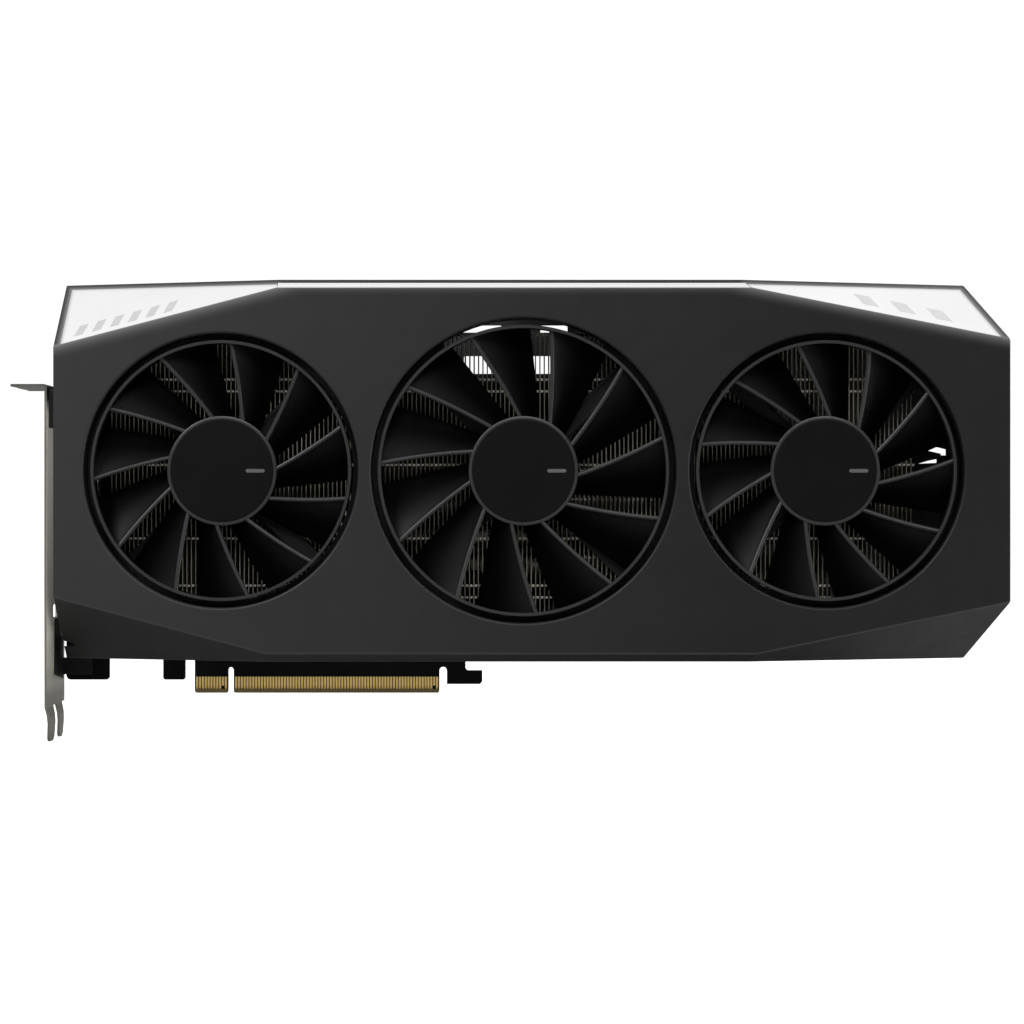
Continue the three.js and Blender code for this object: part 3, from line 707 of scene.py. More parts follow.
def add_strokes(name, panel, sign, first, count, pitch, size, material):
    """Plain slanted strokes on a lit panel, in a row along its front crease."""
    width, height, lean, lift = size
    bm = bmesh.new()
    for i in range(count):
        foot = first + i * pitch
        tip = foot + lean
        outline = [(foot, lift), (foot + width, lift), (tip + width, lift + height), (tip, lift + height)]
        add_prism(bm, [(along, sign * up) for along, up in outline], "Z", 0.0, 0.14)
    bm.transform(facet_frame(PANELS[panel][0]))
    put(make_object(name, bm), material)


def build_shroud():
    put(make_shroud(), shell_material(), replaces=["shroud"])
    milk = diffuser_material("diffuser_milk_white", 0.78, True)
    strip_milk = diffuser_material("strip_milk_white", 0.74, False)
    for name, (corners, margins) in PANELS.items():
        plate = soften(make_object(f"{name}_panel", plate_on(corners, margins, -1.6, 0.05)), 0.12)
        lit = strip_milk if name == "diffuser_strip" else milk
        put(plate, lit, replaces=[name])
    ink = stroke_material()
    add_strokes("left_panel_strokes", "diffuser_left", -1, 36, 6, 6.2, (3.0, 5.6, -2.4, 2.6), ink)
    add_strokes("right_panel_strokes", "diffuser_right", 1, 38, 3, 12.5, (5.4, 6.4, -3.4, 4.2), ink)


def stroke_material():
    """Pale grey print that lets some of the panel's light through."""
    nodes = Nodes("stroke_print_grey")
    tone = nodes.remap(nodes.noise(300, 3), 0.50, 0.54)
    nodes.glow(tone)
    nodes.bump(nodes.noise(2000, 2), 0.2, 0.00001)
    nodes.set(
        Base_Color=nodes.blend(tone, (0.05, 0.05, 0.05), (0.06, 0.06, 0.06)),
        Roughness=0.5,
        Specular_IOR_Level=0.2,
    )
    return nodes.material


# ---- Fans ----
BLADE_SWEEP = 19                       # degrees from the hub to the ring
BLADE_STEPS = 12                       # cross-sections along a blade, less one
BLADE_REAR = 11.4                      # the trailing edge's depth behind the shroud's face
LINE_OFFSET = 9.1                      # how far the leading edges' line passes from the axis


def line_angle(radius):
    """The angle at a radius of a straight line that passes beside the axis."""
    return math.acos(LINE_OFFSET / radius)


def blade_point(fan, number, span, chord, lift):
    """A point of a blade: span from hub to ring, chord back from the leading edge, lift off its middle."""
    inner = HUB_RADIUS - 0.8
    outer = fan["ring"] - 0.6

    def middle(along):
        radius = inner + (outer - inner) * span
        straight = (line_angle(radius) - line_angle(inner)) / (line_angle(outer) - line_angle(inner))
        sweep = BLADE_SWEEP * (0.25 * span + 0.75 * straight)
        turn = fan["phase"] + number * 360 / BLADES + sweep - along * (21.5 + 3.5 * span)
        start = (HUB_DEPTH + 0.9) * (1 - span) + 3 * span
        depth = start + (BLADE_REAR - start) * (0.15 * along + 0.85 * (1 - (1 - along) ** 1.35) ** 0.95)
        return Vector(round_point(fan["x"], FRONT + depth, fan["z"], radius, math.radians(turn)))

    here = middle(chord)
    ahead = (middle(min(chord + 0.02, 1)) - middle(max(chord - 0.02, 0))).normalized()
    radial = Vector((here.x - fan["x"], 0, here.z - fan["z"])).normalized()
    return here + ahead.cross(radial).normalized() * lift


def blade_section():
    """The section of a blade as [chord, lift]: a bead at the leading edge, then a thin tapering tail."""
    bead = 0.55
    turns = [math.radians(30 * i) for i in range(7)]
    front = [(0.030 - 0.030 * math.sin(turn), bead * math.cos(turn)) for turn in turns]
    tail = [(0.075, 0.40), (0.14, 0.34), (0.3, 0.42), (0.5, 0.42), (0.7, 0.36), (0.86, 0.27), (1.0, 0.12)]
    return tail[::-1] + front + [(chord, -lift) for chord, lift in tail]


def add_bead(bm, fan, number):
    """The rounded bead along a blade's leading edge."""
    loops = []
    radius = 0.8
    forwards = Vector((0, 1, 0))
    turns = [math.radians(36 * k) for k in range(10)]
    for i in range(BLADE_STEPS + 1):
        centre = blade_point(fan, number, i / BLADE_STEPS, 0.03, 0)
        radial = Vector((centre.x - fan["x"], 0, centre.z - fan["z"])).normalized()
        side = radial.cross(forwards)
        loops.append([centre + radius * (side * math.cos(a) + forwards * math.sin(a)) for a in turns])
    add_loop_shell(bm, loops)


def add_blade(bm, fan, number):
    spans = [i / BLADE_STEPS for i in range(BLADE_STEPS + 1)]
    section = blade_section()
    add_loop_shell(bm, [[blade_point(fan, number, span, *point) for point in section] for span in spans])


def build_rotor(fan, material, rim_material, edge_highlight_material):
    x, z, edge = fan["x"], fan["z"], fan["ring"]
    face = FRONT + HUB_DEPTH
    bm = bmesh.new()
    dome = [(1.8, 0.9), (17.5, 0.9), (17.5, 0.12), (17.65, 0.02), (17.95, 0.08), (18.3, 0.45)]
    cup = shifted([*dome, (HUB_RADIUS, 1.0)], 0, face)
    cup += [(HUB_RADIUS, HUB_REAR), (16.8, HUB_REAR), (16.8, face + 2.4), (1.8, face + 2.4)]
    add_lathe(bm, cup, x, z)
    front, back = FRONT + 1.4, FRONT + 10.4
    nose = [(-0.95, 0.3), (-0.75, 0.05), (-0.45, 0), (-0.15, 0.12), (0, 0.45), (0, 3.0), (-0.15, 3.2)]
    add_lathe(bm, [*shifted(nose, edge, front), (edge - 0.15, back), (edge - 0.95, back)], x, z)
    for number in range(BLADES):
        add_blade(bm, fan, number)
    rotor = make_object(f"{fan['side']}_fan_rotor", bm, 50)
    put(rotor, material, fan["body"], [f"{fan['side']}_rotor"])

    # The leading beads, the ring's lip and the hub's rim, in the painted highlight material.
    bm = bmesh.new()
    for number in range(BLADES):
        add_bead(bm, fan, number)
    lip = [(-1.2, 0.4), (-1.05, 0), (-0.15, -0.02), (0.02, 0.4), (-0.2, 0.7), (-1.1, 0.7)]
    add_lathe(bm, shifted(lip, edge, front), x, z)
    rim = [(17.18, 0.4), (17.3, 0.02), (17.8, -0.02), (18.3, 0.2), (18.44, 0.7), (18.3, 1.0), (17.3, 0.8)]
    add_lathe(bm, shifted(rim, 0, face), x, z)
    beads = make_object(f"{fan['side']}_fan_edges", bm, 50)
    put(beads, edge_highlight_material, fan["body"])

    cap = [(17.22, 0.9), (17.22, 0.16), (17.1, 0.03), (16.9, 0), (16.2, 0), (8, 0), (0.5, 0)]
    cap = shape(add_disc, shifted(cap, 0, face), x, z, ROUND)
    disc = make_object(f"{fan['side']}_hub_disc", cap, 50)
    put(disc, rim_material, fan["body"], [f"{fan['side']}_hub_cap"])


def build_hub_mark(fan, material):
    """A plain raised bar with round ends, printed to the right of the hub's centre."""
    face = FRONT + HUB_DEPTH
    low = (fan["x"] + 8.0, fan["z"] - 0.6)
    high = (fan["x"] + 14.4, fan["z"] + 0.6)
    bar = shape(add_prism, rounded_rectangle(low, high, 0.59), "Y", face - 0.06, face + 0.05)
    put(make_object(f"{fan['side']}_hub_mark", bar), material, fan["body"])


def build_fan_frame(fan, material):
    """Motor base, four ribbed arms and their screw ears, behind the rotor."""
    x, z = fan["x"], fan["z"]
    front, rear = FRAME_FRONT, FRAME_REAR
    bm = bmesh.new()
    base = shifted([(3.4, 0.2), (3.6, 0), (16.5, 0), (17, 0.4)], 0, front)
    add_lathe(bm, [*base, (17, rear - 0.3), (16.7, rear), (3.4, rear)], x, z, 96)
    reach = fan["bore"] + EAR_REACH
    for ear_x, ear_z, angle in ear_places(fan):
        turn = Matrix.Translation((x, 0, z)) @ Matrix.Rotation(-angle, 4, "Y")
        arm = [(16, -4.2), (22, -3.1), (reach, -2.6), (reach, 2.6), (22, 3.1), (16, 4.2)]
        added = add_prism(bm, arm, "Y", front + 0.3, rear)
        bmesh.ops.transform(bm, matrix=turn, verts=added)
        for side in (-2.2, 2.2):
            rib = [(17, side - 0.5), (reach - 3, side - 0.4), (reach - 3, side + 0.4), (17, side + 0.5)]
            added = add_prism(bm, rib, "Y", front, front + 0.4)
            bmesh.ops.transform(bm, matrix=turn, verts=added)
        ear = [(1.5, front), (4.1, front), (4.2, front + 0.2), (4.2, rear), (1.5, rear)]
        add_lathe(bm, ear, ear_x, ear_z, 32)
    arms = soften(make_object(f"{fan['side']}_frame_arms", bm), 0.2)
    put(arms, material, replaces=[f"{fan['side']}_fan_frame"])


def add_screw(bm, x, z, seat, radius, height, shank):
    """A pan head standing out from a seat plane towards the rear, on a [length, radius] shank if given."""
    rise = [(radius, 0), (radius, 0.45 * height), (0.86 * radius, 0.85 * height), (0.6 * radius, height)]
    add_disc(bm, [(r, seat + h) for r, h in rise], x, z, 32)
    if shank:
        length, girth = shank
        add_disc(bm, [(girth, seat - length), (girth, seat)], x, z, 24)


def cross_cutter(x, z, level, size=1.5, deep=0.7):
    """Two crossed bars that cut the recess of a screw head."""
    half = 0.28
    quarter = [(half, half), (half, size), (-half, size)]
    outline = []
    for _ in range(4):
        outline += quarter
        quarter = [(-b, a) for a, b in quarter]
    outline = [(x + a, z + b) for a, b in outline]
    return helper(shape(add_prism, outline, "Y", level - deep, level + deep))


def build_screws(name, places, seat, material, radius, replaces=(), shank=None):
    """One object of several cross-head screws in a plane."""
    bm = bmesh.new()
    for x, z in places:
        add_screw(bm, x, z, seat, radius, 1.2, shank)
    solid = combine(helper(bm), [cross_cutter(x, z, seat + 1.2) for x, z in places], "DIFFERENCE")
    put(from_helper(name, solid), material, replaces=replaces)


def blade_material():
    """Satin black moulding, with painted shade making it blacker and less glossy towards the rear of the
    blades.
    """
    nodes = Nodes("fan_satin_black")
    # Painted shade: the blades darken towards their rear, where less light reaches.
    depth = nodes.ramp("Y", 1, 0, FRONT + 3.2, FRONT + 9.5)
    tone = nodes.product(nodes.math("POWER", depth, 1.6), nodes.remap(nodes.noise(60, 4), 0.85, 1.0))
    nodes.bump(nodes.noise(1800, 2), 0.5, 0.00001)
    nodes.set(
        Base_Color=nodes.blend(tone, (0.0006, 0.0006, 0.0006), (0.0072, 0.0072, 0.0073)),
        Roughness=nodes.remap(nodes.noise(90, 5), 0.4, 0.5),
        Specular_IOR_Level=nodes.remap(tone, 0.01, 0.09, 0, 1),
    )
    return nodes.material


def build_fans():
    blade = blade_material()
    # Painted highlight: a lighter copy of the fan's black for its beads, lip and rim.
    edges = grained("fan_edge_highlight_black", (0.018, 0.018, 0.0183), 0.36, 1800, 0.00001, 0.1, specular=0.25)
    cap = grained("hub_fine_black", (0.004, 0.004, 0.0041), 0.50, 2600, 0.00002, 0.1, specular=0.04)
    arms = grained("frame_matt_black", (0.004, 0.004, 0.0042), 0.55, 1500, 0.00002, specular=0.12)
    mark = grained("mark_print_grey", (0.07, 0.07, 0.071), 0.4, 2000, 0.00001, 0.1, specular=0.3)
    screw = brushed("screw_black_steel", (0.05, 0.05, 0.052), 0.38, "X")
    for fan in FANS:
        build_rotor(fan, blade, cap, edges)
        build_hub_mark(fan, mark)
        build_fan_frame(fan, arms)
        places = [(x, z) for x, z, _ in ear_places(fan)]
        build_screws(f"{fan['side']}_frame_screws", places, FRAME_REAR, screw, 2.0)


# ---- Heatsink ----
PLUG_LEFT = 95                         # the room for the power plug: its left edge,
PLUG_FLOOR = 108                       # its floor
PLUG_FRONT = -12.5                     # and its front in the fins
FIN_PITCH = 1.5
FIN_THICK = 0.3
TAB_ROWS = (34, 38, 54, 79, 104, 108)


def fin_outline(low, high, rear):
    """Front-to-back outline of one fin's plate as [y, z], notched if its top stops short at the rear."""
    notch = [(high.y, PLUG_FLOOR), (rear, PLUG_FLOOR)] if rear < high.y else []
    return [(low.y, low.z), (high.y, low.z), *notch, (rear, high.z), (low.y, high.z)]


def build_fins():
    low, high = box_mm("fin_stack")
    bm = bmesh.new()
    tabs = bmesh.new()
    plug_right = box_mm("pcb")[1].x
    count = int((high.x - low.x) / FIN_PITCH)
    for i in range(count):
        x = low.x + i * FIN_PITCH
        reach = x + FIN_PITCH - 0.05
        rear = PLUG_FRONT if PLUG_LEFT < x < plug_right else high.y
        add_prism(bm, fin_outline(low, high, rear), "X", x, x + FIN_THICK)
        for fold in ((low.y + 0.6, high.z - 0.3, rear, high.z), (low.y + 0.6, low.z, high.y, low.z + 0.3)):
            add_prism(bm, rectangle(*fold), "X", x + FIN_THICK, reach)
        for row in TAB_ROWS:
            tab = rectangle(low.y - 0.1, row - 0.35, low.y + 1.2, row + 0.35)
            add_prism(tabs, tab, "X", x + FIN_THICK + 0.15, reach - 0.25)
    metal = fin_material("fin_rolled_aluminium", (0.24, 0.225, 0.175), 0.5)
    add_piece("fin_plates", bm, metal, replaces=["fin_stack"])
    # Painted highlight: the tabs take a lighter, glossier copy of the fins' metal.
    tab_highlight_metal = fin_material("fin_tab_highlight_aluminium", (0.6, 0.57, 0.5), 0.3)
    add_piece("fin_tabs", tabs, tab_highlight_metal)


def fin_material(name, colour, roughness):
    """Stamped sheet: rolling lines along its height and a warm cast that drifts from fin to fin."""
    nodes = Nodes(name)
    lines = nodes.noise(1, 3, nodes.stretched((2400, 1500, 40)))
    between = nodes.noise(1, 2, nodes.stretched((640, 3, 3)))
    tone = nodes.remap(nodes.math("ADD", nodes.product(lines, 0.4), between), 0, 1, 0.45, 0.95)
    nodes.bump(lines, 0.2, 0.00002)
    nodes.set(
        Base_Color=nodes.blend(tone, shade(colour, 0.72), shade(colour, 1.2)),
        Roughness=nodes.remap(lines, roughness - 0.05, roughness + 0.1),
        Metallic=0.55,
    )
    return nodes.material


def build_heat_pipes():
    """Flattened pipes with rounded, pinched ends, on the cold plate."""
    metal = brushed("pipe_nickel", (0.2, 0.19, 0.17), 0.3, "X")
    for number in range(1, 5):
        low, high = box_mm(f"heat_pipe_{number}")
        half_y, half_z = (high.y - low.y) / 2, (high.z - low.z) / 2
        middle = (low + high) / 2
        stations = [(0, 0.35), (1.2, 0.7), (3, 0.92), (6, 1), ((high.x - low.x) / 2, 1)]
        length = high.x - low.x
        stations += [(length - place, size) for place, size in reversed(stations[:-1])]
        loops = []
        for place, size in stations:
            loop = []
            for i in range(24):
                angle = 2 * math.pi * i / 24
                spread = max(half_z - half_y, 0) * (1 if math.sin(angle) > 0 else -1)
                loop.append((low.x + place, middle.y + half_y * size * math.cos(angle),
                             middle.z + size * (half_y * math.sin(angle) + spread)))
            loops.append(loop)
        pipe = make_object(f"pipe_{number}", shape(add_loop_shell, loops), 50)
        put(pipe, metal, replaces=[f"heat_pipe_{number}"])


# ---- Circuit board ----
TONGUE = {"left": -49.375, "key_left": -37.725, "key_right": -35.825, "right": 35.825, "shoulder": 13.4}
PAD_PITCH = 1.0
PAD_TOP = 5.65
PAD_FOOT = 1.45
SHORT_PAD = 1.1                        # how much shorter the sensing pad near each row's end is


def board_outline():
    """The board's edge as [x, z], anticlockwise from its lower left corner."""
    low, high = box_mm("pcb")
    shoulder = TONGUE["shoulder"]
    tab_left, tab_right = -79.1, -60.4
    points = arc(low.x + 1.5, 6.1, 1.5, 180, 270)
    points += [(tab_left - 0.8, 4.6), (tab_left, 5.4), (tab_left, shoulder), (tab_right, shoulder)]
    points += [(tab_right, 5.2), (tab_right + 0.6, 4.6), (-53.3, 4.6), (-52.7, 5.2), (-52.7, shoulder)]
    points += [(TONGUE["left"], shoulder), (TONGUE["left"], 0.5), (TONGUE["left"] + 0.5, 0)]
    points += [(TONGUE["key_left"] - 0.4, 0), (TONGUE["key_left"], 0.4), (TONGUE["key_left"], 8)]
    points += arc((TONGUE["key_left"] + TONGUE["key_right"]) / 2, 8, 0.95, 180, 0)[1:]
    points += [(TONGUE["key_right"], 0.4), (TONGUE["key_right"] + 0.4, 0), (TONGUE["right"] - 0.5, 0)]
    points += [(TONGUE["right"], 0.5), (TONGUE["right"], 7.8)]
    points += arc(TONGUE["right"] + 1.3, 7.8, 1.3, 180, 0)[1:]
    points += [(TONGUE["right"] + 2.6, 3.07), (49.9, 3.07), (50.75, 3.9), (50.75, 7.85)]
    points += arc(45.9, 8.85, 1.0, 270, 180)
    points += [(44.9, shoulder), (PLUG_LEFT, shoulder), (PLUG_LEFT, 100), (high.x, 100), (high.x, high.z)]
    points += [(PLUG_LEFT, high.z), (PLUG_LEFT, PLUG_FLOOR), (low.x, PLUG_FLOOR)]
    return points


def bevel_cutters():
    """Wedges that slope both faces of the board towards the connector's edge."""
    slope, edge = BOARD_HALF - 0.42, BOARD_HALF + 0.5
    cutters = []
    for face in (-1, 1):
        wedge = [(edge, -1), (slope, -0.3), (slope, 0), (BOARD_HALF, 1.35), (edge, 1.35)]
        cutters.append(helper(shape(add_prism, [(face * y, z) for y, z in wedge], "X", -60, 38)))
    return cutters


def board_material():
    """Black solder mask with faint traces under it, and drifting gloss."""
    nodes = Nodes("board_solder_mask")
    inputs = {"Scale": 420, "Distortion": 2.5, "Detail": 1, "Vector": nodes.place}
    wave = nodes.add("ShaderNodeTexWave", inputs, wave_type="BANDS", bands_direction="DIAGONAL")
    traces = nodes.remap(wave.outputs["Fac"], 0, 1, 0.55, 0.75)
    masked = nodes.product(traces, nodes.remap(nodes.noise(60, 2), 0, 1, 0.5, 0.56))
    nodes.bump(masked, 0.4, 0.00004)
    nodes.set(
        Base_Color=nodes.blend(masked, (0.0022, 0.0023, 0.0026), (0.0048, 0.0052, 0.0056)),
        Roughness=nodes.remap(nodes.noise(70, 4), 0.36, 0.48),
        Specular_IOR_Level=0.08,
    )
    return nodes.material


def gold_material():
    """Hard gold plating: bright, with fine wiping marks up each pad and a duller foot."""
    nodes = Nodes("contact_hard_gold")
    lines = nodes.noise(1, 3, nodes.stretched((5200, 400, 240)))
    height = nodes.ramp("Z", 0.25, 0.9, PAD_FOOT, PAD_FOOT + 1.4)
    tone = nodes.math("ADD", height, nodes.remap(lines, -0.2, 0.2))
    nodes.bump(lines, 0.2, 0.00002)
    nodes.set(
        Base_Color=nodes.blend(tone, (0.46, 0.31, 0.1), (0.88, 0.62, 0.23)),
        Roughness=nodes.remap(lines, 0.24, 0.38),
        Metallic=1.0,
    )
    return nodes.material


def bare_edge_material():
    """Bare laminate showing on the bevel under the contacts."""
    return grained("bevel_laminate", (0.20, 0.145, 0.05), 0.5, 1400, 0.00003, 0.2, specular=0.4)


def build_contacts(gold):
    rows = {"short": (TONGUE["left"], TONGUE["key_left"]), "long": (TONGUE["key_right"], TONGUE["right"])}
    for row, (x0, x1) in rows.items():
        count = int(x1 - x0)
        first = (x0 + x1) / 2 - (count - 1) * PAD_PITCH / 2
        for side, face in (("front", -1), ("back", 1)):
            bm = bmesh.new()
            levels = sorted((face * (BOARD_HALF - 0.03), face * (BOARD_HALF + 0.05)))
            for i in range(count):
                x = first + i * PAD_PITCH
                foot = PAD_FOOT + (SHORT_PAD if i == count - 2 else 0)
                outline = rounded_rectangle((x - 0.36, foot), (x + 0.36, PAD_TOP), 0.15, 3)
                add_prism(bm, outline, "Y", *levels)
            pads = make_object(f"gold_pads_{side}_{row}", bm)
            put(pads, gold, replaces=[f"edge_contacts_{side}_{row}"])


def build_board():
    plate = helper(shape(add_prism, board_outline(), "Y", -BOARD_HALF, BOARD_HALF))
    holes = bmesh.new()
    for x, z in cooler_screw_places():
        add_disc(holes, [(1.7, -3), (1.7, 3)], x, z, 32)
    solid = combine(plate, [*bevel_cutters(), helper(holes)], "DIFFERENCE")
    board = put(from_helper("main_board", solid), board_material(), replaces=["pcb"])
    board.data.materials.append(bare_edge_material())
    for face in board.data.polygons:
        slanted = abs(face.normal.z) > 0.15 and abs(face.normal.y) > 0.15
        if slanted and face.center.z < 2 * MM:
            face.material_index = 1
    build_contacts(gold_material())


def cooler_screw_places():
    places = []
    for number in range(1, 5):
        low, high = box_mm(f"cooler_screw_{number}")
        places.append(((low.x + high.x) / 2, (low.z + high.z) / 2))
    return places


def build_small_parts():
    """Rows of tiny capacitors beside the processor, on the board's front."""
    body = grained("capacitor_ceramic", (0.16, 0.11, 0.07), 0.45, 900, 0.00002, 0.2)
    ends = brushed("capacitor_tin", (0.6, 0.6, 0.58), 0.3, "Z")
    bodies, caps = bmesh.new(), bmesh.new()
    rows = [(-60, 30, 9), (-60, 38, 9), (74, 30, 6), (74, 60, 6), (74, 90, 6), (-60, 90, 9)]
    for x0, z, count in rows:
        for i in range(count):
            x = x0 + i * 2.4
            add_block(bodies, (x - 0.35, -1.5, z - 0.45), (x + 0.35, -BOARD_HALF, z + 0.45))
            for end in (z - 0.6, z + 0.6):
                add_block(caps, (x - 0.38, -1.55, end - 0.15), (x + 0.38, -BOARD_HALF, end + 0.15))
    add_piece("capacitor_bodies", bodies, body, soft=0.08)
    add_piece("capacitor_ends", caps, ends, soft=0.06)


# ---- Sockets ----
PORTS = ("hdmi_port", "display_port_1", "display_port_2", "display_port_3")


def build_port(node, material, inside, gold):
    """A steel shell with a rounded mouth, a moulded tongue and its two rows of contacts."""
    low, high = box_mm(node)
    outside = rounded_rectangle((low.y, low.z), (high.y, high.z), 0.9)
    mouth = rounded_rectangle((low.y + 0.8, low.z + 0.8), (high.y - 0.8, high.z - 0.8), 0.6)
    body = helper(shape(add_prism, outside, "X", low.x, high.x))
    hole = helper(shape(add_prism, mouth, "X", low.x - 1, high.x - 2))
    shell = from_helper(f"{node}_shell", combine(body, [hole], "DIFFERENCE"))
    put(soften(shell, 0.12), material, replaces=[node])

    middle_y, middle_z = (low.y + high.y) / 2, (low.z + high.z) / 2
    half = (high.z - low.z) / 2 - 2.6
    tongue = shape(add_block, (low.x + 2.2, middle_y - 0.45, middle_z - half),
                   (high.x - 1.9, middle_y + 0.45, middle_z + half))
    add_piece(f"{node}_tongue", tongue, inside, soft=0.15)
    pins = bmesh.new()
    count = 9
    for i in range(count):
        z = middle_z + (i - (count - 1) / 2) * 2 * half / count
        for face in (-1, 1):
            ends = sorted((middle_y + face * 0.42, middle_y + face * 0.55))
            add_block(pins, (low.x + 2.8, ends[0], z - 0.2), (high.x - 2, ends[1], z + 0.2))
    add_piece(f"{node}_pins", pins, gold)


def build_power_connector(material, gold):
    """Eight-cavity header with a latch ramp and pins."""
    low, high = box_mm("power_connector")
    pitch = 4.2
    cavities = bmesh.new()
    pins = bmesh.new()
    middle = (low + high) / 2
    for column in range(4):
        for row in range(2):
            x = middle.x + (column - 1.5) * pitch
            y = middle.y + (row - 0.5) * pitch
            corner = 1.2 if (column + row) % 2 else 0.25
            outline = rounded_rectangle((x - 1.7, y - 1.7), (x + 1.7, y + 1.7), corner, 2)
            add_prism(cavities, outline, "Z", low.z + 4, high.z + 1)
            add_block(pins, (x - 0.5, y - 0.5, low.z + 3.5), (x + 0.5, y + 0.5, high.z - 3))
    block = helper(shape(add_block, low, high))
    housing = from_helper("power_header", combine(block, [helper(cavities)], "DIFFERENCE"))
    put(soften(housing, 0.2), material, replaces=["power_connector"])
    add_piece("power_header_pins", pins, gold, soft=0.15)
    tip = low.y - 1.1
    ramp = [(tip, high.z - 4.5), (low.y, high.z - 7.5), (low.y, high.z - 2.5), (tip, high.z - 2.5)]
    latch = shape(add_prism, ramp, "X", middle.x - 2.2, middle.x + 2.2)
    add_piece("power_header_latch", latch, material, soft=0.15)


# ---- Backplate ----
# Small slanted windows beyond the end of the fins, as [x, z] outlines.
END_WINDOWS = (
    ((209.6, 88.4), (212.6, 87.6), (212.4, 89.0), (211.6, 89.4)),
    ((206.6, 84.4), (211.0, 83.4), (211.0, 82.8), (212.8, 82.8), (212.8, 84.9), (206.6, 86.4)),
    ((203.2, 79.9), (209.6, 80.2), (209.6, 81.5), (206.6, 80.9)),
    ((208.6, 64.4), (211.2, 63.2), (211.8, 63.4), (211.6, 64.2), (209.4, 64.8)),
)
# Openings for the see-through fan end and the BIOS switch, as lower and upper [x, z] corners.
BACK_OPENINGS = (
    ((44.3, 111.3), (78, 117.5)), ((43.5, 124.6), (57.5, 128.2)), ((71, 124.6), (80.5, 128.2)),
    ((-32, 94.5), (-21, 101.5)),
)


def build_backplate():
    low, high = box_mm("backplate")
    corner = 12
    outline = [
        (low.x, low.z), (high.x - corner, low.z), (high.x, low.z + 1.75 * corner),
        (high.x, high.z - 1.75 * corner), (high.x - corner, high.z), (low.x, high.z),
    ]
    plate = helper(shape(add_prism, outline, "Y", low.y, high.y))
    lean = 14
    slots = [
        [(x, 34), (x + 7.5, 34), (x + 7.5 + lean, 118), (x + lean, 118)] for x in (140, 152.5, 165, 177.5)
    ]
    openings = [rounded_rectangle(start, end, 0.5) for start, end in BACK_OPENINGS]
    holes = bmesh.new()
    for hole in (*slots, *openings, *END_WINDOWS):
        add_prism(holes, hole, "Y", 0, 6)
    for x, z in cooler_screw_places():
        add_disc(holes, [(1.7, 0), (1.7, 6)], x, z, 32)
    grooves = bmesh.new()
    for x in (-74, -65, -56, -47, -38):
        groove = [(x, 24), (x + 2.4, 24), (x + 22.4, 128), (x + 20, 128)]
        add_prism(grooves, groove, "Y", high.y - 0.35, high.y + 1)
    add_prism(grooves, rounded_rectangle((-14, 24), (58, 96), 6), "Y", high.y - 0.3, high.y + 1)
    solid = combine(plate, [helper(holes), helper(grooves)], "DIFFERENCE")
    black = (0.013, 0.013, 0.0135)
    coat = grained("backplate_powder_coat", black, 0.46, 2100, 0.00005, 0.15, specular=0.45)
    put(soften(from_helper("rear_plate", solid), 0.3), coat, replaces=["backplate"])


# ---- Slot bracket ----
BRACKET_SHEET = 0.86                   # the sheet's thickness
BRACKET_OUTER = -96.21                 # the plane of its outer face
BRACKET_INNER = BRACKET_OUTER + BRACKET_SHEET
PRONGS = ((-35.6, -21.5), (-14.2, -2.7))
# A prong from root to tip: height, taper of each edge, and step inwards.
PRONG_STATIONS = (
    (1.5, 0, 0), (-2.8, 0, 0), (-4.0, 0.3, 0.3), (-6.0, 0.6, 0.75), (-8.5, 0.9, 0.9), (-11.5, 1.3, 0.75),
    (-13.2, 1.8, 0.65), (-14.1, 2.9, 0.6), (-14.5, 4.2, 0.6),
)


def add_prong(bm, y0, y1):
    """One foot prong: it tapers, rounds at its tip and steps inwards from the bracket's plane."""
    rows = []
    for z, taper, step in PRONG_STATIONS:
        near = BRACKET_OUTER + step
        far = near + BRACKET_SHEET
        left, right = y0 + taper, y1 - taper
        rows.append([(near, left, z), (near, right, z), (far, right, z), (far, left, z)])
    add_loop_shell(bm, rows)


def build_bracket(material):
    low, high = box_mm("io_bracket")
    outer, inner = BRACKET_OUTER, BRACKET_INNER
    front, rear = -35.6, 3.2
    bend = 1.2
    sheet = helper(shape(add_prism, rectangle(front, -2.8, rear, high.z - bend), "X", outer, inner))

    feet = bmesh.new()
    for y0, y1 in PRONGS:
        add_prong(feet, y0, y1)
    centre = (inner - bend, high.z - bend)
    section = arc(*centre, bend, 0, 90) + [(low.x, high.z), (low.x, high.z - BRACKET_SHEET)]
    section += arc(*centre, bend - BRACKET_SHEET, 90, 0)
    corner = shape(add_prism, section, "Y", front, rear)
    sheet = combine(sheet, [helper(feet), helper(corner)], "UNION")

    holes = bmesh.new()
    for node in PORTS:
        port_low, port_high = box_mm(node)
        start = (port_low.y - 0.25, port_low.z - 0.25)
        end = (port_high.y + 0.25, port_high.z + 0.25)
        add_prism(holes, rounded_rectangle(start, end, 1.1), "X", outer - 1, inner + 1)
    for i in range(7):
        z = 27 + 9.5 * i
        add_prism(holes, rounded_rectangle((-22, z), (-10, z + 4.5), 1.4), "X", outer - 1, inner + 1)
    notches = bmesh.new()
    for y in (-25.4, -5.1):
        outline = [(-110, y - 2.2), *arc(-104, y, 2.2, -90, 90, 10), (-110, y + 2.2)]
        add_prism(notches, outline, "Z", high.z - 3, high.z + 1)
    solid = combine(sheet, [helper(holes), helper(notches)], "DIFFERENCE")
    piece = from_helper("slot_bracket", solid, 30)
    put(soften(piece, 0.14), material, replaces=["io_bracket"])


def build_bracket_ear(material):
    """The blackened ear that carries the board's corner, and the black film over the bracket's foot."""
    ear = shape(add_block, (BRACKET_INNER, -1.9, 6.5), (-85, -0.9, 12.4))
    add_piece("bracket_ear", ear, material, soft=0.2)
    outline = [(-20.6, 7.5), (-1.2, 5.0), (-1.2, 26.6), (-19.4, 26.6)]
    film = shape(add_prism, outline, "X", BRACKET_INNER, BRACKET_INNER + 0.35)
    add_piece("bracket_film", film, material, soft=0.1)


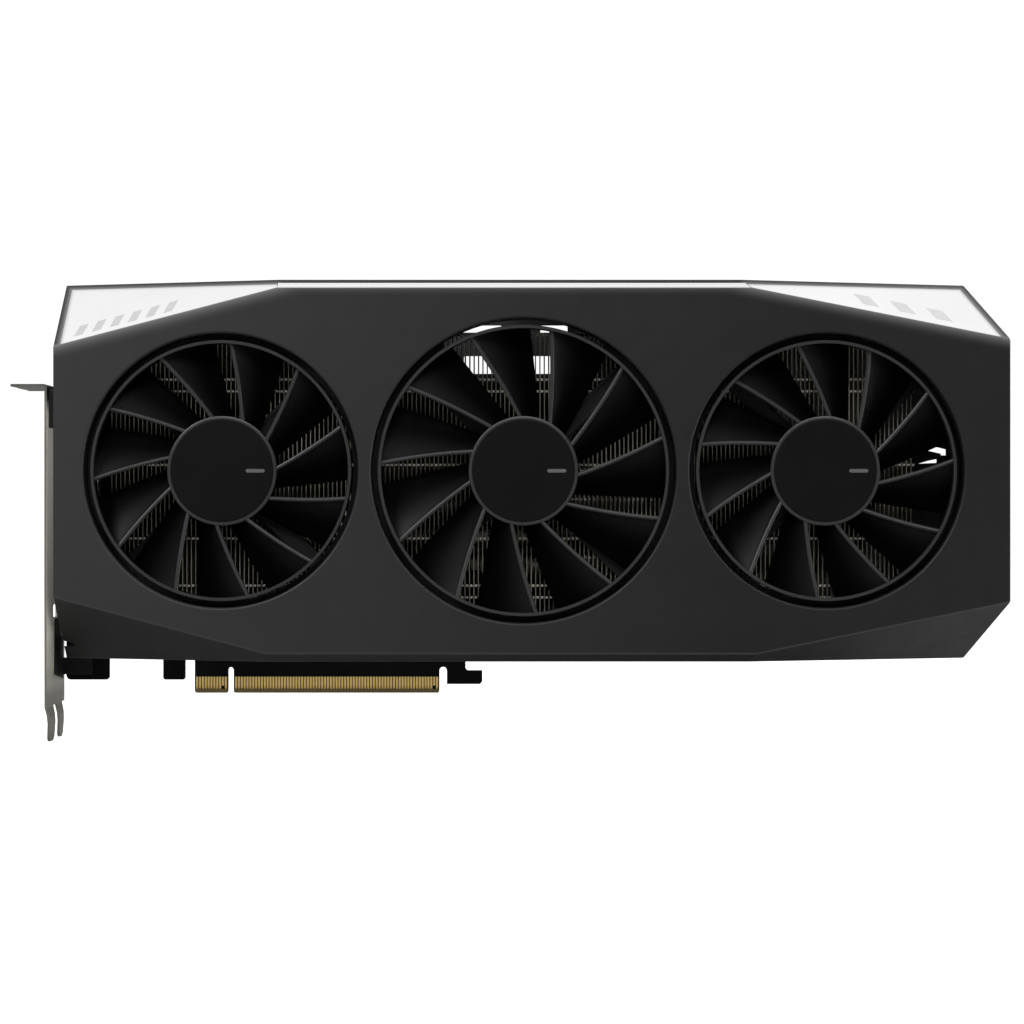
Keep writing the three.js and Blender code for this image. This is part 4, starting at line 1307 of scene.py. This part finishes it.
def build_bracket_screws(material):
    for number in (1, 2):
        low, high = box_mm(f"bracket_screw_{number}")
        y, z = (low.y + high.y) / 2, (low.z + high.z) / 2
        bm = bmesh.new()
        add_screw(bm, 0, 0, 0, 2.5, 0.9, (4, 1.1))
        solid = combine(helper(bm), [cross_cutter(0, 0, 0.9, 1.4, 0.5)], "DIFFERENCE")
        piece = from_helper(f"bracket_fastener_{number}", solid)
        turn = Matrix.Rotation(math.radians(90), 4, "Z")
        place = Matrix.Translation(Vector((BRACKET_OUTER, y, z)) * MM)
        piece.data.transform(place @ turn)
        put(piece, material, replaces=[f"bracket_screw_{number}"])


# ---- CAD nodes that keep their own shape ----
def dress(nodes, material):
    for node in nodes:
        data = frame["nodes"][node].data
        data.materials.clear()
        data.materials.append(material)


def dress_inner_nodes():
    epoxy = grained("chip_epoxy", (0.012, 0.012, 0.013), 0.5, 1100, 0.00003, 0.15)
    memory = [f"memory_chip_{number}" for number in (1, 2, 3, 4)]
    dress([*memory, "choke_1", "choke_2", "fan_header", "bios_switch_body"], epoxy)
    dress(["gpu_die"], grained("die_silicon", (0.05, 0.055, 0.07), 0.12, 300, 0.000002, 0.2, metallic=0.6))
    dress(["gpu_substrate", "led_board"], board_material())
    copper = brushed("copper_milled", (0.72, 0.36, 0.22), 0.3, "X")
    sides = ("left", "middle", "right")
    dress([*[f"{side}_stator" for side in sides], *[f"{side}_bearing" for side in sides]], copper)
    dress(["cold_plate"], brushed("plate_dull_nickel", (0.06, 0.058, 0.052), 0.4, "Z"))
    steel = brushed("plain_steel", (0.45, 0.45, 0.44), 0.32, "Z")
    dress(["retention_plate", *[f"{side}_shaft" for side in sides]], steel)
    dress(["fan_harness"], grained("lead_sleeving", (0.01, 0.01, 0.01), 0.6, 2400, 0.00006, 0.2))
    dress(["bios_switch_slider"], grained("switch_nylon", (0.62, 0.62, 0.6), 0.4, 1500, 0.00002, 0.06))


def bracket_material():
    """Satin nickel with a fine upright grain, darker on the top tab. The long inner face is duller and
    paler, painted light that fades out near its foot and its top.

    That face also glows faintly, painted light in place of the light that bounces into the narrow gap beside
    it.
    """
    nodes = Nodes("bracket_satin_nickel")
    lines = nodes.noise(1, 3, nodes.stretched((2600, 2600, 60)))
    # Painted light on the long inner face: paler, less metallic and glowing, fading out near its foot and
    # its top.
    above_foot = nodes.ramp("Z", 0, 1, 1, 22)
    below_tab = nodes.ramp("Z", 1, 0, 96, 101)
    inside = nodes.ramp("X", 0, 1, BRACKET_INNER - 0.06, BRACKET_INNER - 0.02)
    face = nodes.product(nodes.product(above_foot, below_tab), inside)
    tab = nodes.ramp("Z", 0, 1, 98, 103)
    satin = nodes.blend(tab, (0.17, 0.163, 0.138), (0.1, 0.098, 0.088))
    pale = nodes.blend(nodes.remap(lines, 0.85, 1.0), (0.8, 0.77, 0.66), (0.93, 0.9, 0.77))
    nodes.glow(nodes.product(face, nodes.ramp("Z", 0.045, 0.17, 25, 88)), (1, 0.97, 0.84, 1))
    nodes.bump(lines, 0.25, 0.00003)
    nodes.set(
        Base_Color=nodes.blend(face, satin, pale),
        Roughness=nodes.remap(lines, 0.36, 0.5),
        Metallic=nodes.remap(face, 0.75, 0.05, 0, 1),
    )
    return nodes.material


def build_metalwork():
    build_bracket(bracket_material())
    black = grained("ear_black_coat", (0.006, 0.006, 0.006), 0.45, 1800, 0.00002, 0.15, specular=0.2)
    build_bracket_ear(black)
    dark = brushed("fastener_dark_nickel", (0.16, 0.16, 0.165), 0.3, "X")
    build_bracket_screws(dark)
    seat = box_mm("backplate")[1].y
    nodes = [f"cooler_screw_{number}" for number in range(1, 5)]
    build_screws("cooler_fasteners", cooler_screw_places(), seat, dark, 2.8, nodes, (6.5, 1.3))


def build_sockets():
    shell = brushed("port_plated_shell", (0.5, 0.5, 0.49), 0.3, "X")
    inside = grained("port_black_nylon", (0.01, 0.01, 0.01), 0.5, 1500, 0.00002)
    gold = gold_material()
    for node in PORTS:
        build_port(node, shell, inside, gold)
    build_power_connector(inside, gold)


add_camera()
add_studio()
build_shroud()
build_fans()
build_fins()
build_heat_pipes()
build_board()
build_small_parts()
build_sockets()
build_backplate()
build_metalwork()
dress_inner_nodes()
